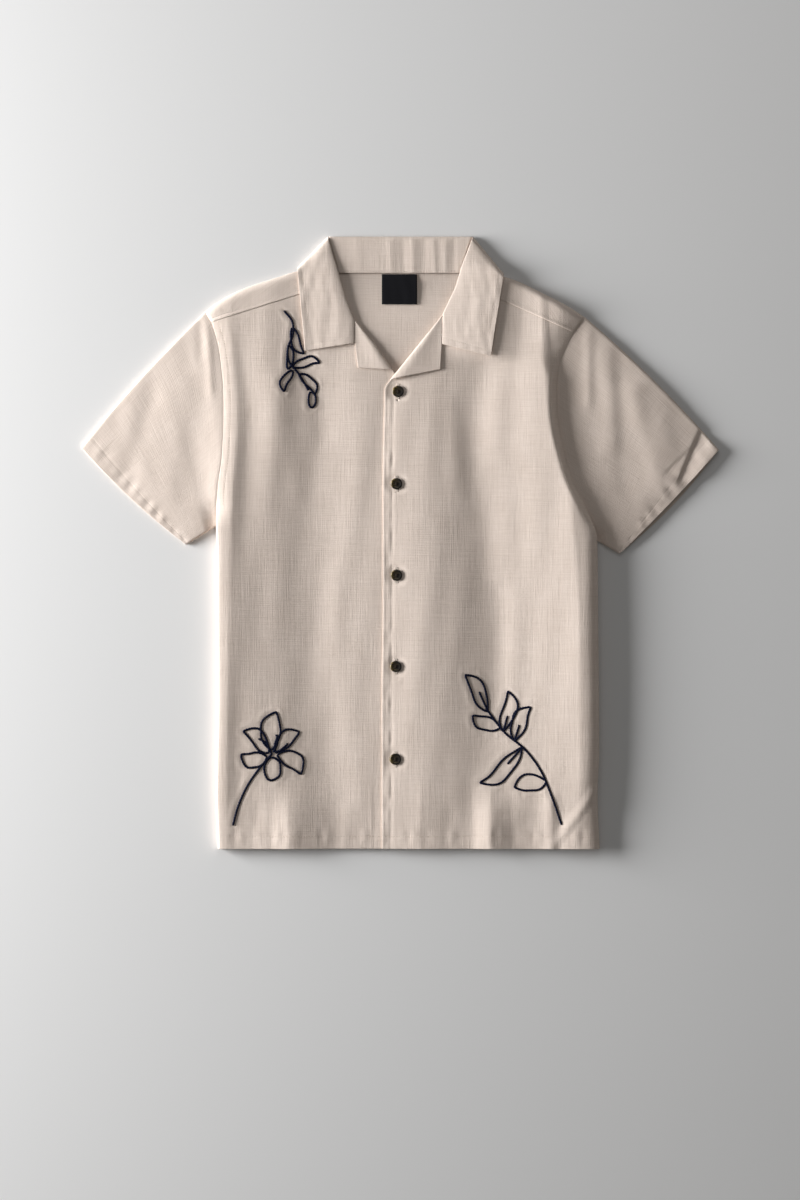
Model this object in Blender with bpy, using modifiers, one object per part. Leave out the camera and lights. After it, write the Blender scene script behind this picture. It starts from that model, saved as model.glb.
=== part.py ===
"""Short-sleeved shirt with an open collar, buttoned and laid flat with its front up.

Every cloth piece is an open grid of points on the outer face of the cloth, made solid by Solidify
towards the inside. Sizes are in millimetres and become metres when a mesh is made. The origin is under
the middle of the shirt's box, X runs to the wearer's left, Y to the collar and Z up.
"""

import math
from collections import namedtuple

import bmesh
import bpy
import numpy as np

MM = 0.001

# Cloth and seams
CLOTH = 1.2
SEAM_GAP = 0.4
ARMHOLE_GAP = 0.5
LAY_GAP = 0.6
LABEL_SIZE = (43.0, 37.0, 0.6)
LABEL_CENTRE = (-1.3, 309.3)

# Levels down the shirt
HEM = -372.5
HEM_DEPTH = 15.0
UNDERARM_CENTRE = 16.0
NECK_TOP = 319.0
UNDERARM_RIGHT = 19.8
UNDERARM_LEFT = 2.4
SEAM_END_RIGHT = 270.0
SEAM_END_LEFT = 257.0

# Folded and rolled edges
FOLD_RADIUS = 2.4
SIDE_EDGE_TOP = 2.0
SIDE_ROLL = 17.0
SHOULDER_ROLL = 15.0

# Buttons, from the collar down, and their buttonholes
BUTTON_RADIUS = 7.0
BUTTON_THICK = 2.7
BUTTON_SEGMENTS = 18
BUTTON_HOLE_RADIUS = 0.9
BUTTON_HOLE_OFFSET = 1.9
BUTTON_FROM_EDGE = 16.5
BUTTONHOLE_HALF_LENGTH = 8.0
BUTTONHOLE_WIDTH = 1.6
BUTTON_LEVELS = (184.5, 72.0, -39.3, -150.5, -263.3)

EdgePoint = namedtuple("EdgePoint", "y x")

# The wearer's right side and armhole, on the -X side, from the hem up to the shoulder tip
OUTLINE_RIGHT = (
    EdgePoint(-372.5, -222.7),
    EdgePoint(-300.0, -225.0),
    EdgePoint(-191.5, -223.3),
    EdgePoint(-20.7, -224.0),
    EdgePoint(19.8, -225.1),
    EdgePoint(70.8, -222.2),
    EdgePoint(107.4, -217.2),
    EdgePoint(156.2, -215.3),
    EdgePoint(186.7, -215.8),
    EdgePoint(213.3, -218.1),
    EdgePoint(240.5, -221.9),
    EdgePoint(256.8, -226.3),
    EdgePoint(270.0, -230.9),
    EdgePoint(281.3, -238.3),
)

# The wearer's left side and armhole, on the +X side
OUTLINE_LEFT = (
    EdgePoint(-372.5, 243.0),
    EdgePoint(-305.0, 240.5),
    EdgePoint(-252.5, 242.5),
    EdgePoint(-69.5, 241.0),
    EdgePoint(2.4, 240.3),
    EdgePoint(45.1, 225.1),
    EdgePoint(74.4, 210.5),
    EdgePoint(108.6, 200.7),
    EdgePoint(137.9, 194.6),
    EdgePoint(162.3, 191.6),
    EdgePoint(186.7, 191.2),
    EdgePoint(216.0, 193.9),
    EdgePoint(234.4, 201.0),
    EdgePoint(257.0, 212.0),
    EdgePoint(275.2, 224.8),
)

# Centre edges of the fronts: the lap below the first button and the lapel's roll line above it
CENTRE_RIGHT = (
    EdgePoint(-372.5, 9.0),
    EdgePoint(186.0, 9.0),
    EdgePoint(207.4, -7.4),
    EdgePoint(241.4, -30.5),
    EdgePoint(271.3, -55.3),
    EdgePoint(297.2, -67.2),
    EdgePoint(319.0, -74.0),
)
CENTRE_LEFT = (
    EdgePoint(-372.5, -22.7),
    EdgePoint(-211.0, -22.7),
    EdgePoint(-69.0, -21.4),
    EdgePoint(74.0, -21.4),
    EdgePoint(174.5, -19.6),
    EdgePoint(186.0, -19.4),
    EdgePoint(192.2, -17.4),
    EdgePoint(198.4, -12.7),
    EdgePoint(219.5, 4.1),
    EdgePoint(258.3, 35.6),
    EdgePoint(282.4, 53.5),
    EdgePoint(311.8, 68.5),
    EdgePoint(319.0, 71.5),
)

# Shoulder folds, where the back turns over to the front, as y over x
FoldPoint = namedtuple("FoldPoint", "x y")
SHOULDER_RIGHT = (
    FoldPoint(-238.3, 281.3),
    FoldPoint(-227.4, 290.6),
    FoldPoint(-202.4, 305.2),
    FoldPoint(-180.6, 314.0),
    FoldPoint(-147.9, 324.5),
    FoldPoint(-126.1, 331.0),
    FoldPoint(-79.0, 333.0),
)
SHOULDER_LEFT = (
    FoldPoint(77.0, 331.0),
    FoldPoint(126.3, 324.3),
    FoldPoint(181.7, 300.4),
    FoldPoint(205.0, 288.2),
    FoldPoint(224.8, 275.2),
)
BACK_NECK_EDGE = 331.5

# Crests and valleys that run down each front: across place and top-face height at five levels
RELIEF_LEVELS = (260.0, 150.0, -120.0, -280.0, -350.0)
ReliefLine = namedtuple("ReliefLine", "name places heights")
RELIEF_RIGHT = (
    ReliefLine("side crest", (-214, -209, -209, -211, -212), (9.0, 13.0, 14.0, 14.0, 13.5)),
    ReliefLine("side dip", (-200, -188, -190, -192, -201), (8.2, 10.5, 11.6, 11.0, 9.5)),
    ReliefLine("chest ridge", (-170, -163, -158, -150, -138), (8.6, 12.0, 9.0, 9.5, 13.0)),
    ReliefLine("valley", (-112, -97, -116, -112, -110), (5.2, 5.5, 5.0, 5.2, 6.0)),
    ReliefLine("lap crest", (-60, -50, -50, -50, -50), (6.2, 7.8, 7.8, 7.6, 7.4)),
    ReliefLine("lap start", (-48, -24, -24, -24, -24), (6.2, 6.0, 6.0, 6.0, 6.0)),
    ReliefLine("lap end", (-20, 9, 9, 9, 9), (6.0, 4.8, 4.8, 4.8, 4.8)),
)
RELIEF_LEFT = (
    ReliefLine("lap edge", (15, -20, -21, -22, -22), (8.2, 8.8, 8.8, 8.8, 8.6)),
    ReliefLine("lap groove", (30, -9, -10, -10, -10), (7.2, 7.5, 7.5, 7.5, 7.5)),
    ReliefLine("lap crest", (48, 33, 33, 33, 30), (6.8, 8.8, 11.0, 10.6, 9.8)),
    ReliefLine("valley", (108, 85, 107, 100, 84), (5.6, 5.5, 4.8, 6.0, 7.5)),
    ReliefLine("chest slope", (145, 125, 140, 135, 112), (8.2, 10.0, 8.0, 8.6, 13.5)),
    ReliefLine("side slope", (160, 150, 172, 165, 143), (10.2, 12.6, 12.0, 10.5, 6.5)),
    ReliefLine("side crest", (177, 181, 213, 215, 215), (12.0, 15.5, 14.5, 13.6, 11.5)),
)

# Height of the fronts' outer edges, where the sleeves meet them and then down the side seams
EdgeRise = namedtuple("EdgeRise", "y right left")
EDGE_RISE = (
    EdgeRise(-372.5, SIDE_EDGE_TOP, SIDE_EDGE_TOP),
    EdgeRise(0.0, SIDE_EDGE_TOP, SIDE_EDGE_TOP),
    EdgeRise(40.0, 3.6, 3.2),
    EdgeRise(100.0, 5.6, 4.6),
    EdgeRise(190.0, 6.8, 5.4),
    EdgeRise(240.0, 6.6, 5.8),
    EdgeRise(281.3, 5.4, 5.4),
)

# Single folds on top of the relief: a line, a half width on its -X and +X side, and a height
Fold = namedtuple("Fold", "x0 y0 x1 y1 width_left width_right height")
FRONT_FOLDS = (
    Fold(182.0, -372.0, 182.0, -320.0, 9.0, 6.0, 2.0),
    Fold(193.0, -372.0, 195.0, -335.0, 5.0, 6.0, -1.2),
    Fold(-178.0, -372.0, -174.0, -325.0, 10.0, 10.0, -1.5),
    Fold(-68.0, -372.0, -66.0, -330.0, 9.0, 9.0, 1.2),
    Fold(58.0, -372.0, 60.0, -330.0, 9.0, 9.0, -1.4),
    Fold(182.0, 262.0, 186.0, 215.0, 5.0, 6.0, -2.0),
)
SLEEVE_RIGHT_FOLDS = (
    Fold(-234.5, 268.0, -231.0, 190.0, 5.0, 5.0, 2.0),
    Fold(-244.0, 276.0, -243.0, 235.0, 6.0, 5.0, -1.6),
    Fold(-305.6, 174.5, -336.0, 76.9, 16.0, 12.0, -1.6),
    Fold(-262.0, 190.0, -285.0, 60.0, 20.0, 18.0, 1.6),
)
SLEEVE_LEFT_FOLDS = (
    Fold(222.0, 246.0, 243.0, 100.0, 9.0, 11.0, 5.0),
    Fold(256.8, 240.3, 274.0, 40.0, 12.0, 13.0, -3.0),
    Fold(300.0, 190.0, 318.0, 90.0, 24.0, 16.0, 1.6),
    Fold(366.0, 134.0, 350.0, 76.0, 4.0, 8.0, 2.2),
)
FOLD_FADE = 22.0

# Sleeves: cuff corners, how far edges bow out, and the top's height from armhole to cuff
Sleeve = namedtuple("Sleeve", "cuff_top cuff_under fold_bow cuff_bow folds")
SLEEVE_RIGHT = Sleeve((-389.2, 116.4), (-261.0, -2.3), 4.0, 4.0, SLEEVE_RIGHT_FOLDS)
SLEEVE_LEFT = Sleeve((388.2, 113.6), (267.0, -13.1), 4.5, 2.0, SLEEVE_LEFT_FOLDS)
SLEEVE_HEIGHT_PLACES = (0.0, 0.12, 0.4, 0.75, 1.0)
SLEEVE_HEIGHTS = (5.0, 8.0, 9.2, 8.4, 7.2)
SLEEVE_STATIONS = (0.0, 0.05, 0.12, 0.2, 0.3, 0.42, 0.54, 0.66, 0.78, 0.9, 1.0)
SLEEVE_ROLL = 16.0

# Collar: top fold, leaves and the outer edge of the fall
COLLAR_TOP = 373.6
COLLAR_CORNER = 88.4
COLLAR_TOP_RADIUS = 2.2
DIAGONAL_RISE = 1.4
DIAGONAL_ROLL = 13.0
DIAGONAL_END_ROLL = 4.5
LEAF_PUFF = 3.2
LEAF_PUFF_WIDTH = 16.0
Leaf = namedtuple("Leaf", "roll gorge_end tip shoulder_corner")
LEAF_RIGHT = Leaf(
    ((-88.4, 373.6), (-75.5, 329.6), (-66.2, 297.2), (-55.9, 271.3)),
    (-55.9, 243.4),
    (-116.3, 234.0),
    (-125.8, 335.5),
)
LEAF_LEFT = Leaf(
    ((88.4, 373.6), (73.8, 335.5), (67.1, 311.8), (51.6, 279.3)),
    (50.9, 242.2),
    (110.0, 227.0),
    (126.0, 328.4),
)
FALL_BACK_EDGE = 336.6
STAND_TOP = 5.6
STAND_EDGE_TOP = 2.75
STAND_SEAM = 329.4

# Turned-out facings: gorge and outer edge on one side, roll line on the other
Lapel = namedtuple("Lapel", "roll outer")
LAPEL_RIGHT = Lapel(
    ((-55.0, 270.2), (-30.5, 241.4), (-14.2, 217.6), (-9.9, 211.3)),
    ((-55.4, 268.5), (-55.4, 244.0), (-53.6, 228.0), (-51.6, 213.5)),
)
LAPEL_LEFT = Lapel(
    ((51.0, 276.9), (35.6, 258.3), (4.1, 219.5), (-12.4, 199.0)),
    ((50.6, 275.6), (50.1, 241.8), (49.6, 226.0), (49.0, 211.1)),
)
LAPEL_PUFF = 2.2

# Grid steps
EDGE_STEPS = (0.0, 0.8, 3.0, 7.5, 13.0)
PLACKET_STEPS = (
    0.0,
    2.5,
    8.5,
    BUTTON_FROM_EDGE - BUTTONHOLE_WIDTH / 2.0,
    BUTTON_FROM_EDGE + BUTTONHOLE_WIDTH / 2.0,
    25.0,
)
SLIT_COLUMN_FROM_EDGE = 4
FRONT_COLUMNS = 17
STRIP_COLUMNS = 7
NECK_COLUMNS = 3
LEAF_COLUMNS = 9
FALL_COLUMNS = 11
LAPEL_ROWS = 9
NECK_LEVELS = (213.0, 233.0, 252.0, 270.0, 287.0, 303.0, NECK_TOP)

CLOTH_COLOUR = (0.80, 0.71, 0.62)
FACING_COLOUR = (0.78, 0.69, 0.60)
LABEL_COLOUR = (0.012, 0.012, 0.014)
BUTTON_COLOUR = (0.035, 0.024, 0.018)


def curve_through(knots, values, at):
    """Smooth curve through knots that never overshoots them. Knots run along the first axis."""
    at = np.asarray(at, dtype=float).ravel()
    knots = np.asarray(knots, dtype=float)
    values = np.asarray(values, dtype=float)
    if knots.ndim == 1:
        knots = np.repeat(knots[:, None], at.size, axis=1)
    if values.ndim == 1:
        values = np.repeat(values[:, None], at.size, axis=1)
    step = np.diff(knots, axis=0)
    slope = np.diff(values, axis=0) / step
    inner = slope[:-1] * slope[1:]
    total = slope[:-1] + slope[1:]
    same_way = inner > 0.0
    tangent = np.zeros_like(values)
    tangent[1:-1][same_way] = 2.0 * inner[same_way] / total[same_way]
    tangent[0] = slope[0]
    tangent[-1] = slope[-1]
    span = np.sum(at[None, :] >= knots[1:-1], axis=0)[None, :]
    width = np.take_along_axis(step, span, axis=0)[0]
    start = np.take_along_axis(knots, span, axis=0)[0]
    low = np.take_along_axis(values, span, axis=0)[0]
    high = np.take_along_axis(values, span + 1, axis=0)[0]
    leave = np.take_along_axis(tangent, span, axis=0)[0]
    arrive = np.take_along_axis(tangent, span + 1, axis=0)[0]
    t = np.clip((at - start) / width, 0.0, 1.0)
    return (
        low * (1.0 + 2.0 * t) * (1.0 - t) ** 2
        + leave * width * t * (1.0 - t) ** 2
        + high * t * t * (3.0 - 2.0 * t)
        + arrive * width * t * t * (t - 1.0)
    )


def edge_x(outline, y):
    """Place across the shirt of an outline at the level y."""
    return curve_through([p.y for p in outline], [p.x for p in outline], y)


def shoulder_y(shoulder, x):
    """Level of a shoulder fold at the place x."""
    return curve_through([p.x for p in shoulder], [p.y for p in shoulder], x)


def roll(t):
    """Quarter-round rise from 0 at an edge to 1 where the roll ends."""
    t = np.clip(t, 0.0, 1.0)
    return np.sqrt(np.clip(1.0 - (1.0 - t) ** 2, 0.0, 1.0))


def ease(t):
    """Smooth step from 0 to 1."""
    t = np.clip(t, 0.0, 1.0)
    return t * t * (3.0 - 2.0 * t)


def add_folds(folds, x, y):
    """Height that a table of single folds adds at each point; half widths are as seen from below Y."""
    added = np.zeros_like(x)
    for fold in folds:
        along = np.array([fold.x1 - fold.x0, fold.y1 - fold.y0])
        length = np.hypot(*along)
        along = along / length
        run = (x - fold.x0) * along[0] + (y - fold.y0) * along[1]
        side = (x - fold.x0) * along[1] - (y - fold.y0) * along[0]
        if along[1] < 0.0:
            side = -side
        width = np.where(side < 0.0, fold.width_left, fold.width_right)
        beyond = np.maximum(np.maximum(-run, run - length), 0.0)
        added += fold.height * np.exp(-((side / width) ** 2)) * (1.0 - ease(beyond / FOLD_FADE))
    return added


def relief(lines, x, y):
    """Height of a front's top face between its crests and valleys."""
    levels = RELIEF_LEVELS[::-1]
    level = np.clip(y, levels[0], levels[-1])
    places = np.array([curve_through(levels, line.places[::-1], level) for line in lines])
    heights = np.array([curve_through(levels, line.heights[::-1], level) for line in lines])
    inside = np.clip(x, places[0], places[-1])
    return curve_through(places, heights, inside)


def side_values(side):
    """Outline, relief and sign of one side; the sign is that of X there."""
    if side == "right":
        return OUTLINE_RIGHT, RELIEF_RIGHT, -1.0
    return OUTLINE_LEFT, RELIEF_LEFT, 1.0


def edge_height(side, y):
    """Height of the outer edge of a front or a sleeve's start at the level y."""
    return curve_through([r.y for r in EDGE_RISE], [getattr(r, side) for r in EDGE_RISE], y)


def body_height(side, x, y):
    """Top-face height of the body on one side of the shirt."""
    x = np.asarray(x, dtype=float)
    y = np.asarray(y, dtype=float)
    outline, lines, sign = side_values(side)
    level = relief(lines, x, y) + add_folds(FRONT_FOLDS, x, y)
    inboard = sign * (edge_x(outline, np.clip(y, HEM, outline[-1].y)) - x) - SEAM_GAP / 2.0
    edge = edge_height(side, np.clip(y, HEM, EDGE_RISE[-1].y))
    return edge + (level - edge) * roll(inboard / SIDE_ROLL)


def row_levels():
    """Levels of the fronts' rows at the centre edge, with one pair at each buttonhole."""
    levels = [HEM, HEM + HEM_DEPTH]
    previous = levels[-1]
    for button in reversed(BUTTON_LEVELS):
        low = button - BUTTONHOLE_HALF_LENGTH
        high = button + BUTTONHOLE_HALF_LENGTH
        middle = UNDERARM_CENTRE if previous < UNDERARM_CENTRE < low else (previous + low) / 2.0
        levels += [middle, low, high]
        previous = high
    return np.array(levels + list(NECK_LEVELS))


def outer_levels(side, centre_levels):
    """Levels where the same rows reach the side seam or the armhole."""
    underarm = UNDERARM_RIGHT if side == "right" else UNDERARM_LEFT
    top = SEAM_END_RIGHT if side == "right" else SEAM_END_LEFT
    return np.interp(centre_levels, (HEM, UNDERARM_CENTRE, NECK_TOP), (HEM, underarm, top))


def armhole_points(side):
    """The armhole from the shoulder tip down to the underarm, on the rows' own points."""
    outline = side_values(side)[0]
    levels = outer_levels(side, row_levels()[row_levels() >= UNDERARM_CENTRE])[::-1]
    levels = np.concatenate([[outline[-1].y], levels])
    return np.column_stack([edge_x(outline, levels), levels])


def grid_object(name, columns, material, collection, flip=False, keep=None, closed=False):
    """Solid cloth piece from a grid of outer-face points, indexed [row][column]."""
    rows, count = columns.shape[:2]
    keep = np.ones((rows - 1, count if closed else count - 1), bool) if keep is None else keep
    mesh_edit = bmesh.new()
    used = {}

    def vertex(row, column):
        key = (row, column % count)
        if key not in used:
            used[key] = mesh_edit.verts.new(columns[key[0], key[1]] * MM)
        return used[key]

    for row in range(rows - 1):
        for column in range(keep.shape[1]):
            if keep[row, column]:
                corners = [
                    vertex(row, column),
                    vertex(row, column + 1),
                    vertex(row + 1, column + 1),
                    vertex(row + 1, column),
                ]
                mesh_edit.faces.new(corners[::-1] if flip else corners)
    mesh = bpy.data.meshes.new(name)
    mesh_edit.to_mesh(mesh)
    mesh_edit.free()
    piece = bpy.data.objects.new(name, mesh)
    piece.data.materials.append(material)
    collection.objects.link(piece)
    shell = piece.modifiers.new("cloth wall", "SOLIDIFY")
    shell.thickness = CLOTH * MM
    shell.offset = -1.0
    shell.use_rim = True
    mesh.shade_smooth()
    return piece


def make_material(name, colour, roughness):
    """Plain material of one piece of cloth or trim."""
    material = bpy.data.materials.new(name)
    material.use_nodes = True
    shader = material.node_tree.nodes["Principled BSDF"]
    shader.inputs["Base Color"].default_value = (*colour, 1.0)
    shader.inputs["Roughness"].default_value = roughness
    shader.inputs["Metallic"].default_value = 0.0
    return material


def make_front(side, material, collection):
    """One front, from its outer edge to its lap or roll line; the left one has buttonholes."""
    outline, _, sign = side_values(side)
    centre = CENTRE_RIGHT if side == "right" else CENTRE_LEFT
    centre_levels = row_levels()
    levels = outer_levels(side, centre_levels)
    outer = np.column_stack([edge_x(outline, levels) - sign * SEAM_GAP / 2.0, levels])
    inner = np.column_stack([edge_x(centre, centre_levels), centre_levels])
    rows = []
    for start, end in zip(outer, inner):
        width = np.hypot(*(end - start))
        near = np.array(EDGE_STEPS)
        far = width - np.array(PLACKET_STEPS)[::-1]
        between = np.linspace(near[-1], far[0], FRONT_COLUMNS)[1:-1]
        along = np.concatenate([near, between, far])[:, None] / width
        rows.append(start + (end - start) * along)
    flat = np.array(rows)
    x, y = flat[..., 0].ravel(), flat[..., 1].ravel()
    height = body_height(side, x, y).reshape(flat.shape[:2])
    points = np.dstack([flat, height])
    keep = np.ones((points.shape[0] - 1, points.shape[1] - 1), bool)
    if side == "left":
        slit = points.shape[1] - 1 - SLIT_COLUMN_FROM_EDGE
        for button in BUTTON_LEVELS:
            row = int(np.argmin(np.abs(centre_levels - (button - BUTTONHOLE_HALF_LENGTH))))
            keep[row, slit] = False
    return grid_object("front_" + side, points, material, collection, flip=side == "left", keep=keep)


def unit(vectors):
    """Each row at length one."""
    return vectors / np.linalg.norm(vectors, axis=1)[:, None]


def strip_end(side):
    """Neck end of a shoulder strip, as its place on the shoulder fold."""
    return SHOULDER_RIGHT[-1].x if side == "right" else SHOULDER_LEFT[0].x


def shoulder_strip(side, count):
    """Rows of the back's turned-over shoulder: the fold line and the forward seam, as points."""
    outline, _, sign = side_values(side)
    shoulder = SHOULDER_RIGHT if side == "right" else SHOULDER_LEFT
    centre = CENTRE_RIGHT if side == "right" else CENTRE_LEFT
    top = SEAM_END_RIGHT if side == "right" else SEAM_END_LEFT
    seam_outer = np.array([edge_x(outline, top)[0], top])
    seam_inner = np.array([edge_x(centre, NECK_TOP)[0] + sign * 3.0, NECK_TOP])
    along = np.linspace(0.0, 1.0, count)
    tip = outline[-1].x
    x = tip + (strip_end(side) - tip) * along
    fold = np.column_stack([x, shoulder_y(shoulder, x)])
    seam = seam_outer + (seam_inner - seam_outer) * along[:, None]
    return fold, seam


def make_back(material, collection):
    """The back on the floor, folded over at both shoulders as far as the forward seams."""
    levels = row_levels()
    left_levels = outer_levels("left", levels)
    right_levels = outer_levels("right", levels)
    start = np.column_stack([edge_x(OUTLINE_RIGHT, right_levels), right_levels])
    end = np.column_stack([edge_x(OUTLINE_LEFT, left_levels), left_levels])
    fold_r, seam_r = shoulder_strip("right", STRIP_COLUMNS)
    fold_l, seam_l = shoulder_strip("left", STRIP_COLUMNS)
    fold_l, seam_l = fold_l[::-1], seam_l[::-1]
    neck_x = np.linspace(fold_r[-1, 0], fold_l[0, 0], NECK_COLUMNS + 2)[1:-1]
    neck = np.column_stack([neck_x, np.full(NECK_COLUMNS, BACK_NECK_EDGE + FOLD_RADIUS)])
    top_line = np.vstack([fold_r, neck, fold_l])
    down = np.tile((0.0, -1.0), (NECK_COLUMNS, 1))
    inward = np.vstack([unit(seam_r - fold_r), down, unit(seam_l - fold_l)])
    count = len(top_line)
    share = np.linspace(0.0, 1.0, count)[:, None]
    rows = []
    for k in range(len(levels)):
        spread = start[k] + (end[k] - start[k]) * share
        rows.append(np.column_stack([spread, np.zeros(count)]))
    for turn in (0.0, math.pi / 4.0, math.pi / 2.0):
        place = top_line + inward * FOLD_RADIUS * (1.0 - math.sin(turn))
        rows.append(np.column_stack([place, np.full(count, FOLD_RADIUS * (1.0 - math.cos(turn)))]))
    for forward in (0.05, 0.2, 0.45, 0.7, 1.0):
        line = []
        for fold, seam, side in ((fold_r, seam_r, "right"), (None, None, None), (fold_l, seam_l, "left")):
            if fold is None:
                line.append(np.column_stack([neck, np.zeros(NECK_COLUMNS)]))
                continue
            reach = np.hypot(*(seam - fold).T)
            short = (reach - SEAM_GAP) / reach
            place = fold + (seam - fold) * (forward * short)[:, None]
            level = body_height(side, place[:, 0], place[:, 1])
            away = reach * forward
            height = FOLD_RADIUS + (level - FOLD_RADIUS) * roll(away / SHOULDER_ROLL)
            line.append(np.column_stack([place, height]))
        rows.append(np.vstack(line))
    points = np.array(rows)
    keep = np.ones((points.shape[0] - 1, count - 1), bool)
    keep[len(levels):, STRIP_COLUMNS - 1:STRIP_COLUMNS + NECK_COLUMNS] = False
    return grid_object("back", points, material, collection, flip=True, keep=keep)


def make_sleeve(side, material, collection):
    """A flattened sleeve tube, flat on the floor below and rounded on its fold edges."""
    sleeve = SLEEVE_RIGHT if side == "right" else SLEEVE_LEFT
    sign = side_values(side)[2]
    arm = armhole_points(side)
    arm[:, 0] += sign * ARMHOLE_GAP
    run = np.concatenate([[0.0], np.cumsum(np.hypot(*np.diff(arm, axis=0).T))])
    cuff_top = np.array(sleeve.cuff_top)
    cuff_under = np.array(sleeve.cuff_under)
    cuff_length = np.hypot(*(cuff_under - cuff_top))
    extra = np.array([0.9, 4.0]) / cuff_length
    top_share = np.concatenate([[0.0], extra, run[1:-1] / run[-1], 1.0 - extra[::-1], [1.0]])
    low_share = np.concatenate([[1.8 / cuff_length], run[1:-1] / run[-1], [1.0 - 1.8 / cuff_length]])

    def across(share, station):
        start = np.column_stack([np.interp(share * run[-1], run, arm[:, k]) for k in (0, 1)])
        end = cuff_top + (cuff_under - cuff_top) * share[:, None]
        cuff_out = sign * np.array([cuff_top[1] - cuff_under[1], cuff_under[0] - cuff_top[0]])
        cuff_out = cuff_out / cuff_length
        end = end + cuff_out * (sleeve.cuff_bow * 4.0 * share * (1.0 - share))[:, None]
        place = start + (end - start) * station
        fold_out = np.array([sign, 1.0]) / math.sqrt(2.0)
        bow = sleeve.fold_bow * 4.0 * station * (1.0 - station) * (1.0 - ease(share * 4.0))
        return place + fold_out * bow[:, None]

    rows = []
    for station in SLEEVE_STATIONS:
        place = across(top_share, station)
        length = run[-1] + (cuff_length - run[-1]) * station
        away = np.minimum(top_share, 1.0 - top_share) * length
        base = curve_through(SLEEVE_HEIGHT_PLACES, SLEEVE_HEIGHTS, np.full(len(place), station))
        near_body = edge_height(side, np.clip(place[:, 1], HEM, EDGE_RISE[-1].y))
        base = near_body + (base - near_body) * ease(station / SLEEVE_HEIGHT_PLACES[2])
        base = base + add_folds(sleeve.folds, place[:, 0], place[:, 1]) * ease(station / 0.06)
        height = FOLD_RADIUS + (base - FOLD_RADIUS) * roll(away / SLEEVE_ROLL)
        top = np.column_stack([place, height])
        below = across(low_share, station)
        low = np.column_stack([below, np.zeros(len(below))])
        rows.append(np.vstack([top, low[::-1]]))
    points = np.array(rows)
    return grid_object(
        "sleeve_" + side, points, material, collection, flip=side == "right", closed=True
    )


def line_points(corners, count):
    """Points spread evenly along a broken line."""
    corners = np.array(corners, dtype=float)
    run = np.concatenate([[0.0], np.cumsum(np.hypot(*np.diff(corners, axis=0).T))])
    at = np.linspace(0.0, run[-1], count)
    return np.column_stack([np.interp(at, run, corners[:, k]) for k in (0, 1)])


def leaf_height(side, place, from_roll, to_edge):
    """Top-face height of a collar leaf: it rests on the front and is full near its roll line."""
    _, lines, _ = side_values(side)
    rest = relief(lines, place[:, 0], place[:, 1]) + CLOTH + LAY_GAP
    full = roll(from_roll / LEAF_PUFF_WIDTH) * (1.0 - ease(from_roll / (from_roll + to_edge + 1e-6)))
    return rest + LEAF_PUFF * full


def leaf_columns(side, row_shares):
    """Columns of one leaf from its lower edge up to the diagonal fold, [column][row]."""
    leaf = LEAF_RIGHT if side == "right" else LEAF_LEFT
    inner = line_points([leaf.gorge_end] + list(leaf.roll[::-1]), LEAF_COLUMNS)
    outer = line_points([leaf.tip, leaf.shoulder_corner], LEAF_COLUMNS)
    share = np.array(row_shares)
    columns = []
    for k in range(LEAF_COLUMNS):
        reach = np.hypot(*(outer[k] - inner[k]))
        place = inner[k] + (outer[k] - inner[k]) * share[:, None]
        rest = leaf_height(side, place, share * reach, (1.0 - share) * reach)
        low = COLLAR_TOP_RADIUS + DIAGONAL_RISE * share
        width = DIAGONAL_ROLL + (DIAGONAL_END_ROLL - DIAGONAL_ROLL) * share
        height = low + (rest - low) * roll(diagonal_distance(leaf, place) / width)
        columns.append(np.column_stack([place, height]))
    return columns


def diagonal_distance(leaf, place):
    """Distance from the collar's diagonal fold."""
    start = np.array(leaf.roll[0])
    end = np.array(leaf.shoulder_corner)
    along = (end - start) / np.hypot(*(end - start))
    offset = place - start
    return np.abs(offset[:, 0] * along[1] - offset[:, 1] * along[0])


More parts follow.
